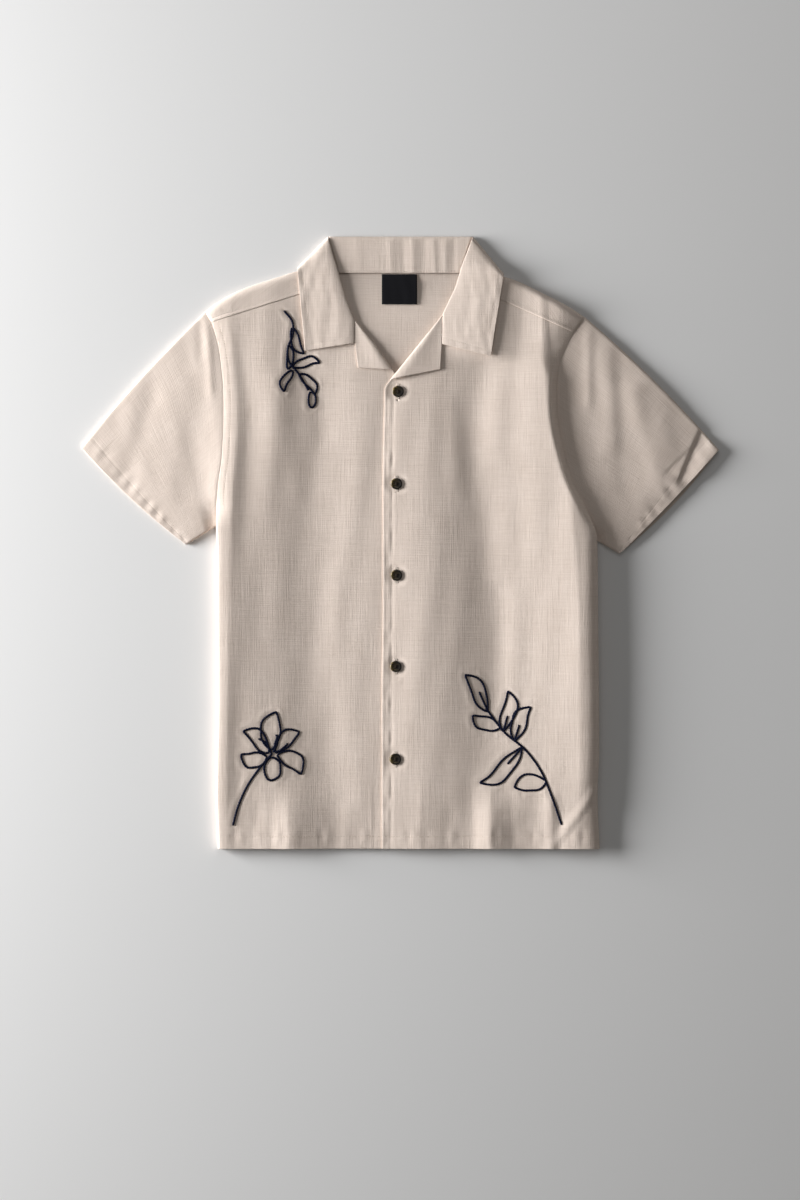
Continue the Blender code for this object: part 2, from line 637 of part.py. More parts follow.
def make_collar(material, collection):
    """The collar band: leaf, back fall on the floor, leaf, and the stand on the top fold."""
    fall_rows = (0.0, 0.025, 0.07, 0.2, 0.4, 0.6, 0.8, 1.0)
    stand_rows = (1.0, 0.75, 0.5, 0.28, 0.1, 0.03)
    right = leaf_columns("right", fall_rows)
    left = leaf_columns("left", fall_rows)[::-1]
    back_columns = []
    start = np.array(LEAF_RIGHT.shoulder_corner)
    end = np.array(LEAF_LEFT.shoulder_corner)
    tops = np.linspace(-COLLAR_CORNER + 2.5, COLLAR_CORNER - 2.5, FALL_COLUMNS)
    lows = np.linspace(start[0] + 4.5, end[0] - 4.5, FALL_COLUMNS)
    for top, low in zip(tops, lows):
        inner = np.array([top, COLLAR_TOP])
        edge = np.interp(low, (start[0], -95.0, 95.0, end[0]),
                         (start[1], FALL_BACK_EDGE, FALL_BACK_EDGE, end[1]))
        outer = np.array([low, edge])
        share = np.array(fall_rows)
        place = inner + (outer - inner) * share[:, None]
        drop = COLLAR_TOP_RADIUS * (1.0 - roll((COLLAR_TOP - place[:, 1]) / COLLAR_TOP_RADIUS))
        back_columns.append(np.column_stack([place, drop]))
    columns = right + back_columns + left
    stand = []
    for index, column in enumerate(columns):
        is_back = len(right) <= index < len(right) + len(back_columns)
        top = column[0]
        foot_x = np.interp(top[0], (-COLLAR_CORNER, COLLAR_CORNER), (-73.5, 71.5))
        foot = np.array([foot_x, STAND_SEAM])
        rows = []
        for share in stand_rows:
            place = top[:2] + (foot - top[:2]) * share
            rise = COLLAR_TOP_RADIUS + (STAND_TOP - COLLAR_TOP_RADIUS) * roll(share / 0.25)
            height = rise + (STAND_EDGE_TOP - STAND_TOP) * ease((share - 0.45) / 0.55)
            rows.append([place[0], place[1], height] if is_back else list(top))
        stand.append(np.array(rows))
    points = np.array([np.vstack([s, c]) for s, c in zip(stand, columns)]).transpose(1, 0, 2)
    keep = np.ones((points.shape[0] - 1, points.shape[1] - 1), bool)
    keep[:len(stand_rows), :len(right)] = False
    keep[:len(stand_rows), len(right) + len(back_columns) - 1:] = False
    return grid_object("collar", points, material, collection, flip=False, keep=keep)


def make_lapel(side, material, collection):
    """The turned-out facing, lying on its front between the roll line and the outer edge."""
    lapel = LAPEL_RIGHT if side == "right" else LAPEL_LEFT
    roll_line = line_points(lapel.roll, LAPEL_ROWS)
    outer_line = line_points(lapel.outer, LAPEL_ROWS)
    share = np.array([0.0, 0.06, 0.2, 0.45, 0.72, 1.0])
    rows = []
    for start, end in zip(roll_line, outer_line):
        place = start + (end - start) * share[:, None]
        rest = body_height(side, place[:, 0], place[:, 1]) + CLOTH + LAY_GAP
        reach = np.hypot(*(end - start))
        full = roll(share / 0.3) * (1.0 - ease(share)) * min(1.0, reach / 30.0)
        rows.append(np.column_stack([place, rest + LAPEL_PUFF * full]))
    points = np.array(rows)
    return grid_object("lapel_facing_" + side, points, material, collection, flip=side == "left")


def make_label(material, collection):
    """The bare woven label, flat on the inside of the back."""
    mesh_edit = bmesh.new()
    bmesh.ops.create_cube(mesh_edit, size=1.0)
    bmesh.ops.scale(mesh_edit, vec=[size * MM for size in LABEL_SIZE], verts=mesh_edit.verts)
    mesh = bpy.data.meshes.new("label")
    mesh_edit.to_mesh(mesh)
    mesh_edit.free()
    label = bpy.data.objects.new("label", mesh)
    label.data.materials.append(material)
    height = CLOTH + 0.3 + LABEL_SIZE[2] / 2.0
    label.location = (LABEL_CENTRE[0] * MM, LABEL_CENTRE[1] * MM, height * MM)
    collection.objects.link(label)
    return label


def button_mesh():
    """Half section of a button from the top of its axis round to the bottom."""
    radius = BUTTON_RADIUS
    thick = BUTTON_THICK
    section = (
        (0.0, 0.68 * thick),
        (0.52 * radius, 0.68 * thick),
        (0.72 * radius, 0.98 * thick),
        (0.86 * radius, thick),
        (0.97 * radius, 0.80 * thick),
        (radius, 0.50 * thick),
        (0.90 * radius, 0.16 * thick),
        (0.70 * radius, 0.0),
        (0.0, 0.0),
    )
    mesh = bpy.data.meshes.new("button section")
    edges = [(k, k + 1) for k in range(len(section) - 1)]
    mesh.from_pydata([(x * MM, 0.0, z * MM) for x, z in section], edges, [])
    return mesh


def make_hole_cutter(collection):
    """Four thread holes as one cutter."""
    mesh_edit = bmesh.new()
    for turn in range(4):
        angle = math.pi / 4.0 + turn * math.pi / 2.0
        made = bmesh.ops.create_cone(
            mesh_edit,
            cap_ends=True,
            segments=6,
            radius1=BUTTON_HOLE_RADIUS * MM,
            radius2=BUTTON_HOLE_RADIUS * MM,
            depth=4.0 * BUTTON_THICK * MM,
        )
        offset = BUTTON_HOLE_OFFSET * MM
        bmesh.ops.translate(
            mesh_edit,
            verts=made["verts"],
            vec=(offset * math.cos(angle), offset * math.sin(angle), 0.0),
        )
    mesh = bpy.data.meshes.new("thread holes")
    mesh_edit.to_mesh(mesh)
    mesh_edit.free()
    cutter = bpy.data.objects.new("thread holes", mesh)
    cutter.hide_render = True
    cutter.display_type = "WIRE"
    collection.objects.link(cutter)
    return cutter


def button_place(level):
    """Centre of a button on the lap, and the height of the cloth under it."""
    x = edge_x(CENTRE_LEFT, level)[0] + BUTTON_FROM_EDGE
    turn = np.linspace(0.0, 2.0 * math.pi, 25)
    ring_x = np.concatenate([x + BUTTON_RADIUS * np.cos(turn), x + BUTTON_RADIUS * np.cos(turn) / 2.0])
    ring_y = np.concatenate([level + BUTTON_RADIUS * np.sin(turn), level + np.sin(turn)])
    return x, level, float(np.max(body_height("left", ring_x, ring_y)))


def make_buttons(material, collection, cutters):
    """Five sew-through buttons on the lap; their threads are not part of the solids."""
    mesh = button_mesh()
    mesh.materials.append(material)
    for number, level in enumerate(BUTTON_LEVELS, start=1):
        x, y, cloth = button_place(level)
        button = bpy.data.objects.new("button_%d" % number, mesh)
        button.location = (x * MM, y * MM, (cloth + 0.35) * MM)
        collection.objects.link(button)
        turned = button.modifiers.new("turned", "SCREW")
        turned.steps = BUTTON_SEGMENTS
        turned.render_steps = BUTTON_SEGMENTS
        turned.use_merge_vertices = True
        turned.merge_threshold = 0.00001
        turned.use_smooth_shade = True
        cutter = make_hole_cutter(cutters)
        cutter.name = "thread holes %d" % number
        cutter.location = button.location
        holes = button.modifiers.new("thread holes", "BOOLEAN")
        holes.operation = "DIFFERENCE"
        holes.solver = "EXACT"
        holes.object = cutter


def main():
    """Clear the scene and build the shirt."""
    for leftover in list(bpy.data.objects):
        bpy.data.objects.remove(leftover, do_unlink=True)
    shirt = bpy.data.collections.new("embroidered_shirt")
    cutters = bpy.data.collections.new("cutters")
    bpy.context.scene.collection.children.link(shirt)
    bpy.context.scene.collection.children.link(cutters)
    cloth = make_material("cotton cloth", CLOTH_COLOUR, 0.85)
    facing = make_material("facing cloth", FACING_COLOUR, 0.85)
    label = make_material("woven label", LABEL_COLOUR, 0.7)
    horn = make_material("dark button", BUTTON_COLOUR, 0.35)
    make_back(cloth, shirt)
    for side in ("right", "left"):
        make_front(side, cloth, shirt)
        make_sleeve(side, cloth, shirt)
        make_lapel(side, facing, shirt)
    make_collar(cloth, shirt)
    make_label(label, shirt)
    make_buttons(horn, shirt, cutters)


main()
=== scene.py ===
"""Looks of the embroidered shirt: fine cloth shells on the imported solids, stitching, embroidery,
buttons, floor, light and camera. Shapes are worked out in millimetres, in the frame's own axes.
The wearer's right side lies on the -X side."""

import math
from collections import namedtuple

import bpy
import numpy as np
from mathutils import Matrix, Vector


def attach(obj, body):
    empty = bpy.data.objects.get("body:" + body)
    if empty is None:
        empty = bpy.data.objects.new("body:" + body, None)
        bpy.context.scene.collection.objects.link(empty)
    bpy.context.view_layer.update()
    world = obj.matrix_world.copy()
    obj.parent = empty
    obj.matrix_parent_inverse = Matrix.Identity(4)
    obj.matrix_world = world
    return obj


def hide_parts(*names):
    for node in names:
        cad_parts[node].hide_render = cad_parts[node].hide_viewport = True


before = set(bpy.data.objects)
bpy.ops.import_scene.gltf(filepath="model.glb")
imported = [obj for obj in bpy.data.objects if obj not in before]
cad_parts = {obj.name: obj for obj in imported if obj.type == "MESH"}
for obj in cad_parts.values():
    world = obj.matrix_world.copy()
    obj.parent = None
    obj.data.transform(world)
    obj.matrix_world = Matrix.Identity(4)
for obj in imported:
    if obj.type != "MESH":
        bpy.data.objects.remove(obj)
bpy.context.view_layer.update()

MM = 0.001
SIDES = ("right", "left")
SIGN = {"right": -1.0, "left": 1.0}

# Cloth and seams
CLOTH = 1.2
WALL = 0.9
SEAM_GAP = 0.4
ARMHOLE_GAP = 0.5
LAY_GAP = 0.6
LABEL_SIZE = (43.0, 37.0, 0.5)
LABEL_CENTRE = (-1.3, 309.3)

# Levels down the shirt
HEM = -372.5
HEM_DEPTH = 15.0
UNDERARM_CENTRE = 16.0
UNDERARM = {"right": 19.8, "left": 2.4}
NECK_TOP = 319.0
SEAM_END = {"right": 270.0, "left": 257.0}

# Folded and rolled edges
FOLD_RADIUS = 2.4
SIDE_EDGE_TOP = 2.0
SIDE_WALL = 1.6
SIDE_STEEP = {"right": 0.8, "left": 0.5}
SIDE_ROLL = {"right": 13.0, "left": 17.0}
ARMHOLE_ROLL = {"right": 20.0, "left": 12.0}
ARMHOLE_ROLL_TOP = {"right": 20.0, "left": 38.0}
SHOULDER_ROLL = 8.0

# Buttons, from the collar down
BUTTON_RADIUS = 7.0
BUTTON_THICK = 2.1
BUTTON_DIP = 0.9
BUTTON_DISH = 0.66
BUTTON_STEPS = 48
BUTTON_HOLE_OFFSET = 1.9
BUTTON_FROM_EDGE = 16.5
BUTTONHOLE_HALF_LENGTH = 8.0
BUTTONHOLE_WIDTH = 1.6
BUTTON_LEVELS = (184.5, 72.0, -39.3, -150.5, -263.3)

# Outlines as the solids have them: pairs of level and place across, from the hem up
OUTLINE = {
    "right": (
        (-372.5, -222.7), (-300, -225), (-191.5, -223.3), (-20.7, -224), (19.8, -225.1), (70.8, -222.2),
        (107.4, -217.2), (156.2, -215.3), (186.7, -215.8), (213.3, -218.1), (240.5, -221.9),
        (256.8, -226.3), (270, -230.9), (281.3, -238.3),
    ),
    "left": (
        (-372.5, 243), (-305, 240.5), (-252.5, 242.5), (-69.5, 241), (2.4, 240.3), (45.1, 225.1),
        (74.4, 210.5), (108.6, 200.7), (137.9, 194.6), (162.3, 191.6), (186.7, 191.2), (216, 193.9),
        (234.4, 201), (257, 212), (275.2, 224.8),
    ),
}
CENTRE = {
    "right": (
        (-372.5, 9), (186, 9), (207.4, -7.4), (241.4, -30.5), (271.3, -55.3), (297.2, -67.2), (319, -74),
    ),
    "left": (
        (-372.5, -22.7), (-211, -22.7), (-69, -21.4), (74, -21.4), (174.5, -19.6), (186, -19.4),
        (192.2, -17.4), (198.4, -12.7), (219.5, 4.1), (258.3, 35.6), (282.4, 53.5), (311.8, 68.5),
        (319, 71.5),
    ),
}
# Shoulder folds: pairs of place across and level
SHOULDER = {
    "right": (
        (-238.3, 281.3), (-227.4, 290.6), (-202.4, 305.2), (-180.6, 314), (-147.9, 324.5), (-126.1, 331),
        (-79, 333),
    ),
    "left": (
        (77, 331), (126.3, 324.3), (181.7, 300.4), (205, 288.2), (224.8, 275.2),
    ),
}
BACK_NECK_EDGE = 331.5

# Crests and valleys down each front: places across and heights at six levels
RELIEF_LEVELS = (260.0, 150.0, 60.0, -120.0, -280.0, -350.0)
ReliefLine = namedtuple("ReliefLine", "name places heights")
RELIEF = {
    "right": (
        ReliefLine("side crest", (-208, -199, -205, -209, -211, -212), (8.6, 12.6, 13.6, 14, 12.6, 10.2)),
        ReliefLine("side dip", (-196, -182, -187, -190, -192, -196), (8, 10.8, 11, 11.4, 10.4, 9.6)),
        ReliefLine("chest ridge", (-170, -160, -160, -158, -150, -138), (7.8, 11.4, 10, 9, 9.4, 10.2)),
        ReliefLine("valley", (-112, -97, -101, -101, -86, -66), (4.8, 5, 4.5, 4.3, 4.5, 5.3)),
        ReliefLine("lap crest", (-60, -48, -48, -48, -48, -46), (4.6, 6.8, 6.4, 6, 5.9, 5.6)),
        ReliefLine("lap start", (-48, -22, -22, -22, -22, -22), (4.4, 6.4, 6.3, 6.1, 6, 5.7)),
        ReliefLine("lap end", (-20, 9, 9, 9, 9, 9), (4.4, 4.8, 4.8, 4.8, 4.8, 4.8)),
    ),
    "left": (
        ReliefLine("lap edge", (15, -20, -20, -21, -22, -22), (5.6, 7.2, 7.3, 7.3, 7.3, 7.2)),
        ReliefLine("lap groove", (30, -9, -10, -10, -10, -10), (5.6, 7.9, 7.9, 7.9, 7.9, 7.8)),
        ReliefLine("lap crest", (48, 33, 31, 30, 30, 28), (5.6, 8.8, 9.8, 10.6, 10.2, 9.6)),
        ReliefLine("lap slope", (75, 58, 60, 62, 60, 56), (5.4, 7.4, 8.5, 9.4, 9.2, 8.8)),
        ReliefLine("valley", (108, 85, 97, 112, 104, 84), (5.2, 5.4, 5, 4.7, 6.8, 7.8)),
        ReliefLine("chest slope", (145, 125, 134, 145, 138, 112), (7.6, 9.4, 8.6, 8, 8.4, 9.6)),
        ReliefLine("side slope", (157, 152, 165, 178, 168, 146), (9.8, 12.6, 12.6, 12.4, 11.2, 8.2)),
        ReliefLine("side crest", (172, 180, 206, 218, 219, 217), (12.4, 16.6, 18.4, 19.8, 18.4, 14.2)),
    ),
}

# Outer edges: level, then the height on the right and on the left
EDGE_RISE = (
    (-372.5, SIDE_EDGE_TOP, SIDE_EDGE_TOP), (0, SIDE_EDGE_TOP, SIDE_EDGE_TOP), (22, 4.6, 8),
    (60, 10.6, 10.4), (100, 11.4, 7.6), (190, 9.7, 6), (240, 7.7, 6.6), (281.3, 5.8, 6),
)

# Single folds: x0, y0, x1, y1, a half width on the -X and on the +X side, and a height
FRONT_FOLDS = (
    (182, -372, 182, -320, 9, 6, 1.2), (193, -372, 195, -335, 5, 6, -0.7),
    (-178, -372, -174, -325, 10, 10, -0.8), (-68, -372, -66, -330, 9, 9, 0.6),
    (58, -372, 60, -330, 9, 9, -0.6), (179, 290, 186, 224, 4, 12, -0.7),
    (115, 330, 107, 236, 42, 30, 4.8), (219, 270, 202, 247, 2.6, 2.6, 0.8),
    (-150, 196, -128, 60, 16, 14, 0.5), (-104, 205, -96, 130, 10, 14, -0.5),
    (60, 170, 78, 40, 14, 12, 0.5), (120, -60, 126, -200, 14, 12, -0.6),
    (-80, -40, -74, -190, 14, 12, 0.4),
)
FRONT_CREASES = (
    (-138, -372, -137.5, -345, 20, 50, 2.3), (110, -372, 109.5, -332, 22, 26, 3),
    (24, -372, 24, -330, 2.2, 2.2, 0.45), (-36, -372, -36, -340, 2.2, 2.2, 0.4),
    (238, -300, 205, -345, 9, 7, 1),
)
SLEEVE_FOLDS = {
    "right": (
        (-234.5, 268, -231, 190, 5, 5, 0.8), (-244, 276, -243, 235, 6, 5, -0.7),
        (-305.6, 174.5, -336, 76.9, 16, 12, -0.8), (-262, 190, -285, 60, 20, 18, 0.7),
    ),
    "left": (
        (252, 232, 258, 120, 14, 11, 1.4), (229, 252, 229, 176, 7, 6, 0.9),
        (270, 226, 274, 70, 12, 16, -0.6), (284, 184, 322, 70, 20, 30, 1.7),
        (387, 118, 363, 84, 15, 16, 2),
    ),
}
SLEEVE_CREASES = {
    "right": (),
    "left": ((366.6, 137.9, 341.5, 80, 3, 20, -2.2), (357, 118, 326, 88, 2.5, 9, -0.5)),
}
STAND_PUCKERS = (
    (-52, 371, -50, 336, 7, 6, 0.25), (-12, 371, -11, 334, 5, 4, 0.4), (3, 371, 4, 332, 5, 4, -0.35),
    (16, 371, 16, 333, 5, 3, 0.5), (29, 371, 28, 336, 4.4, 3.6, -0.35), (40, 371, 42, 333, 4, 3.4, 0.45),
    (55, 371, 54, 336, 4, 4, 0.4), (66, 371, 65, 338, 4, 3, -0.35),
)

# Falling off of folds and creases beyond their ends, and rounding of the creases' tops
FOLD_FADE = 22.0
CREASE_FADE = 62.0
CREASE_ROUND = 0.0015

# Sleeves
Sleeve = namedtuple("Sleeve", "cuff_top cuff_under fold_bow cuff_bow")
SLEEVE = {
    "right": Sleeve((-389.2, 116.4), (-261.0, -2.3), 4.0, 4.0),
    "left": Sleeve((388.2, 113.6), (267.0, -13.1), 4.5, 2.0),
}
SLEEVE_HEIGHT_PLACES = (0.0, 0.12, 0.4, 0.75, 1.0)
SLEEVE_HEIGHTS = (5.0, 6.2, 7.4, 6.9, 5.6)
SLEEVE_REACH = 190.0
SLEEVE_ROLL = 2.4
SLEEVE_RISE = 46.0
SLEEVE_EDGE = 0.45
UNDER_TUCK = 0.15
UNDER_MARGIN = 1.8
CUFF_UNDER = {"right": 0.8, "left": 4.2}

# Collar
COLLAR_TOP = 373.6
COLLAR_CORNER = 88.4
COLLAR_TOP_RADIUS = 2.2
DIAGONAL_RISE = 1.4
DIAGONAL_ROLL = 13.0
DIAGONAL_END_ROLL = 4.5
DIAGONAL_STEEP = 0.6
LEAF_PUFF_WIDTH = 16.0
LEAF_LENGTH = 102.0
LEAF_LIFT = {"right": 0.6, "left": 1.6}
LEAF_FULL = {"right": 1.8, "left": 0.8}
Leaf = namedtuple("Leaf", "roll gorge_end tip shoulder_corner")
LEAF = {
    "right": Leaf(
        ((-88.4, 373.6), (-75.5, 329.6), (-66.2, 297.2), (-55.9, 271.3)),
        (-55.9, 243.4), (-116.3, 234.0), (-125.8, 335.5),
    ),
    "left": Leaf(
        ((88.4, 373.6), (73.8, 335.5), (67.1, 311.8), (51.6, 279.3)),
        (50.9, 242.2), (110.0, 227.0), (126.0, 328.4),
    ),
}
FALL_BACK_EDGE = 336.6
FALL_COLUMNS = 70
STAND_TOP = 4.6
STAND_EDGE_TOP = 3.3
STAND_SEAM = 329.4
STAND_DEPTH = 44.0
Lapel = namedtuple("Lapel", "roll outer area")
LAPEL = {
    "right": Lapel(
        ((-55.0, 270.2), (-30.5, 241.4), (-14.2, 217.6), (-9.9, 211.3)),
        ((-55.4, 268.5), (-55.4, 244.0), (-53.6, 228.0), (-51.6, 213.5)),
        0.0014,
    ),
    "left": Lapel(
        ((51.0, 276.9), (35.6, 258.3), (4.1, 219.5), (-12.4, 199.0)),
        ((50.6, 275.6), (50.1, 241.8), (49.6, 226.0), (49.0, 211.1)),
        0.00214,
    ),
}
LAPEL_PUFF = 2.2
LAPEL_ROWS = 40

# Mesh steps, stitch lines, puckers and small waves
FINE = 2.4
HEM_STEPS = (0.0, 0.5, 3.0, 6.0, 9.0, 12.0, 13.8, 14.5, 15.0, 15.5, 16.2)
ROLL_STEPS = (0.0, 0.4, 1.1, 2.2, 3.6, 5.4, 6.9, 7.5, 8.0, 8.5, 9.1, 11.2, 13.6, 16.2)
CUFF_EDGE_STEPS = (0.0, 0.3, 0.9, 1.9, 3.3, 5.2, 7.5, 10.0, 13.0, 16.0)
CUFF_HEM_STEPS = (18.0, 16.4, 15.6, 15.0, 14.4, 13.4, 11.0, 8.5, 6.0, 3.5, 1.5, 0.5, 0.0)
FRONT_SPAN = 215.0
STRIP_COLUMNS = 46
NECK_COLUMNS = 46
TURN_ROWS = 6
STRIP_SHARES = (
    0.02, 0.05, 0.1, 0.17, 0.25, 0.34, 0.44, 0.55, 0.66, 0.74, 0.80, 0.83, 0.86, 0.92, 0.965, 1.0,
)
BACK_STEPS = (0.0, 0.3, 0.8, 1.4, 2.1, 3.0, 5.0, 7.0, 9.0, 10.5, 12.0, 13.5)
ARMHOLE_STITCH = 8.0
CUFF_STITCH = 15.0
COLLAR_STITCH = 6.5
SHOULDER_STITCH = 4.0
# Sewing stitches: length, gap and thread radius
STITCHES = {
    "hem": (2.6, 0.9, 0.24),
    "armhole": (2.6, 0.9, 0.24),
    "shoulder": (2.6, 0.9, 0.22),
    "collar": (2.4, 0.8, 0.2),
    "neck": (2.8, 0.6, 0.3),
}
SATIN_RADIUS = 0.26
GROOVE_DEPTH = 0.15
GROOVE_HALF = 0.7
FINE_WAVES = 0.15
CUFF_PUCKER = 0.62
HEM_PUCKER = 0.32
LAP_PUCKER = 0.3
LAP_GROOVE = 0.34
LAP_RIDGE = 0.2
SEAM_DIP = 0.3
SLEEVE_DIP = 0.1
SEAM_OVERLAP = 1.2
NECK_PUFF = 2.2

# Embroidery: stems, and leaves or petals as closed loops
LeafLoop = namedtuple("LeafLoop", "base tip left right bow curl vein")
SPRIG_STEMS = (
    ((196, -343), (183, -306), (170, -276), (152, -252), (127, -231), (106, -204)),
)
SPRIG_LEAVES = (
    LeafLoop((106, -205), (79, -161), 10, 8, -4, 3, 0.5),
    LeafLoop((121, -225), (88, -211), 7.5, 9.5, 3, -3, 0),
    LeafLoop((125, -229), (131, -181), 9, 9, -4, 3.5, 0.4),
    LeafLoop((139, -241), (158, -200), 10, 9, 4, -4, 0.45),
    LeafLoop((147, -249), (97, -292), 10, 8.5, 6, -5, 0.4),
    LeafLoop((177, -290), (139, -297), 10.5, 10.5, -2, 1, 0),
)
FLOWER_STEMS = (
    ((-204, -344), (-198, -322), (-186, -295), (-168, -270), (-156, -256)),
    ((-157, -256), (-163, -244), (-173, -238)),
    ((-155, -255), (-150, -244), (-151, -233)),
    ((-153, -256), (-143, -250), (-137, -244)),
)
FLOWER_LEAVES = (
    LeafLoop((-160, -255), (-191, -229), 10, 8.5, -5, 3, 0),
    LeafLoop((-157, -252), (-152, -206), 12.5, 12.5, 4, -2.5, 0),
    LeafLoop((-152, -254), (-124, -230), 8, 10.5, 5, -2.5, 0),
    LeafLoop((-150, -258), (-121, -281), 11.5, 9.5, 6, -3, 0),
    LeafLoop((-157, -261), (-158, -289), 10.5, 10, 1.5, -1, 0),
    LeafLoop((-163, -261), (-194, -259), 10, 9, 4, -3, 0),
)
CHEST_STEMS = (
    ((-142, 283), (-132, 270), (-131, 254), (-137, 238), (-136, 222), (-124, 206), (-112, 186)),
)
CHEST_LEAVES = (
    LeafLoop((-132, 262), (-118, 231), 4.5, 6.5, -2, 2, 0),
    LeafLoop((-136, 240), (-137, 212), 4.5, 3.5, 2, 0, 0),
    LeafLoop((-131, 214), (-99, 220), 6, 5, 3, -3, 0),
    LeafLoop((-132, 210), (-142, 185), 4.6, 5, -3, 2, 0),
    LeafLoop((-123, 205), (-104, 182), 6, 5, 3, -2, 0),
    LeafLoop((-109, 184), (-108, 165), 4.6, 4.6, 1, 0, 0),
)
CHAIN_STEP = 3.2
CHAIN_RADIUS = 1.5
CHAIN_LIFT = 0.35
CHAIN_FLAT = 0.62
PULL_DEPTH = 0.3
PULL_PUFF = 0.34
SPRIGS = (
    ("embroidery_chest_sprig", "right", CHEST_STEMS, CHEST_LEAVES),
    ("embroidery_flower", "right", FLOWER_STEMS, FLOWER_LEAVES),
    ("embroidery_leaf_sprig", "left", SPRIG_STEMS, SPRIG_LEAVES),
)

# Camera
PHOTO_HEIGHT = 1.464
CAMERA_HEIGHT = 4.0
CAMERA_AIM = (-0.0006, -0.0695)


def hermite(t, width, low, high, leave, arrive):
    """Cubic from low to high over a width, with the given slopes at its two ends."""
    return (
        low * (1.0 + 2.0 * t) * (1.0 - t) ** 2
        + leave * width * t * (1.0 - t) ** 2
        + high * t * t * (3.0 - 2.0 * t)
        + arrive * width * t * t * (t - 1.0)
    )


def curve_through(knots, values, at):
    """Smooth curve through knots that never overshoots them. Knots run along the first axis."""
    at = np.asarray(at, dtype=float).ravel()
    knots, values = (
        np.asarray(rows, dtype=float).reshape(len(rows), -1) + np.zeros(at.size) for rows in (knots, values)
    )
    step = np.diff(knots, axis=0)
    slope = np.diff(values, axis=0) / step
    inner, total = slope[:-1] * slope[1:], slope[:-1] + slope[1:]
    same_way = inner > 0.0
    tangent = np.zeros_like(values)
    tangent[1:-1][same_way] = 2.0 * inner[same_way] / total[same_way]
    tangent[0], tangent[-1] = slope[0], slope[-1]
    span = np.sum(at[None, :] >= knots[1:-1], axis=0)[None, :]
    width, start, low, high, leave, arrive = (
        np.take_along_axis(rows, span + after, axis=0)[0]
        for rows, after in ((step, 0), (knots, 0), (values, 0), (values, 1), (tangent, 0), (tangent, 1))
    )
    return hermite(np.clip((at - start) / width, 0.0, 1.0), width, low, high, leave, arrive)


def table_curve(pairs, at):
    """Curve through a table of pairs, at places among their first values."""
    return curve_through(*np.transpose(pairs), at)


def edge_points(pairs, levels):
    """Places along an edge, one at each level."""
    return np.column_stack([table_curve(pairs, levels), levels])


def roll(t):
    """Quarter-round rise from 0 at an edge to 1 where the roll ends."""
    t = np.clip(t, 0.0, 1.0)
    return np.sqrt(np.clip(1.0 - (1.0 - t) ** 2, 0.0, 1.0))


def ease(t):
    """Smooth step from 0 to 1."""
    t = np.clip(t, 0.0, 1.0)
    return t * t * (3.0 - 2.0 * t)


def hump(distance, half=1.0):
    """Soft hump across a line: 1 on it, falling off over its half width."""
    return np.exp(-((distance / half) ** 2))


def crease_shape(t):
    """Tent of a pressed crease, with a slightly rounded top."""
    return np.clip(1.0 - np.sqrt(t * t + CREASE_ROUND), 0.0, None)


def add_folds(folds, x, y, shape=hump, fade=FOLD_FADE):
    """Height that a table of single folds adds at each point."""
    added = np.zeros_like(x)
    for x0, y0, x1, y1, left_half, right_half, height in folds:
        along = np.array([x1 - x0, y1 - y0])
        length = np.hypot(*along)
        along = along / length
        run = (x - x0) * along[0] + (y - y0) * along[1]
        side = (x - x0) * along[1] - (y - y0) * along[0]
        side = -side if along[1] < 0.0 else side
        width = np.where(side < 0.0, left_half, right_half)
        beyond = np.maximum(np.maximum(-run, run - length), 0.0)
        added += height * shape(side / width) * (1.0 - ease(beyond / fade))
    return added


def relief(side, x, y):
    """Height of a front's top face between its crests and valleys."""
    levels = RELIEF_LEVELS[::-1]
    places, heights = (
        np.array([curve_through(levels, getattr(line, part)[::-1], y) for line in RELIEF[side]])
        for part in ("places", "heights")
    )
    return curve_through(places, heights, x)


def edge_height(side, y):
    """Height of the outer edge of a front, or of a sleeve's start, at the level y."""
    levels, *heights = np.transpose(EDGE_RISE)
    return curve_through(levels, heights[SIDES.index(side)], y)


def soft_waves(x, y, seed, length, stretch):
    """Slow uneven rise and fall of lying cloth, between about -1 and 1; stretched along Y."""
    draw = np.random.default_rng(seed)
    total = np.zeros_like(x)
    count = 9
    for _ in range(count):
        turn = draw.uniform(-0.5, 0.5)
        wave = 2.0 * math.pi / (length * draw.uniform(0.6, 1.6))
        phase = draw.uniform(0.0, 2.0 * math.pi)
        total += np.sin(wave * (x * math.cos(turn) + y * math.sin(turn) / stretch) + phase)
    return total / math.sqrt(count)


def button_x(level):
    """Place across the shirt of the buttons' line at a level."""
    return table_curve(CENTRE["left"], level)[0] + BUTTON_FROM_EDGE


def button_dips(x, y):
    """How far each button presses its cloth down."""
    return sum(
        BUTTON_DIP * (1.0 - ease((np.hypot(x - button_x(level), y - level) - BUTTON_RADIUS) / 9.0))
        for level in BUTTON_LEVELS
    )


def body_height(side, x, y, fine=0.0):
    """Top-face height of the body on one side of the shirt; fine adds the small unevenness."""
    level = relief(side, x, y) + add_folds(FRONT_FOLDS, x, y)
    level = level + add_folds(FRONT_CREASES, x, y, crease_shape, CREASE_FADE)
    level = level + fine * soft_waves(x, y, 11, 46.0, 2.6)
    if side == "left":
        level = level - button_dips(x, y)
    inboard = SIGN[side] * (table_curve(OUTLINE[side], y) - x) - SEAM_GAP / 2.0
    edge, steep = edge_height(side, y), SIDE_STEEP[side]
    side_rise = steep * roll(inboard / SIDE_WALL) + (1.0 - steep) * roll(inboard / SIDE_ROLL[side])
    wide = ARMHOLE_ROLL[side] + (ARMHOLE_ROLL_TOP[side] - ARMHOLE_ROLL[side]) * ease((y - 195.0) / 50.0)
    into = np.clip(inboard / wide, 0.0, 1.0)
    rise = side_rise + (into * (2.0 - into) - side_rise) * ease((y - UNDERARM_CENTRE) / 40.0)
    return edge + (level - edge) * rise


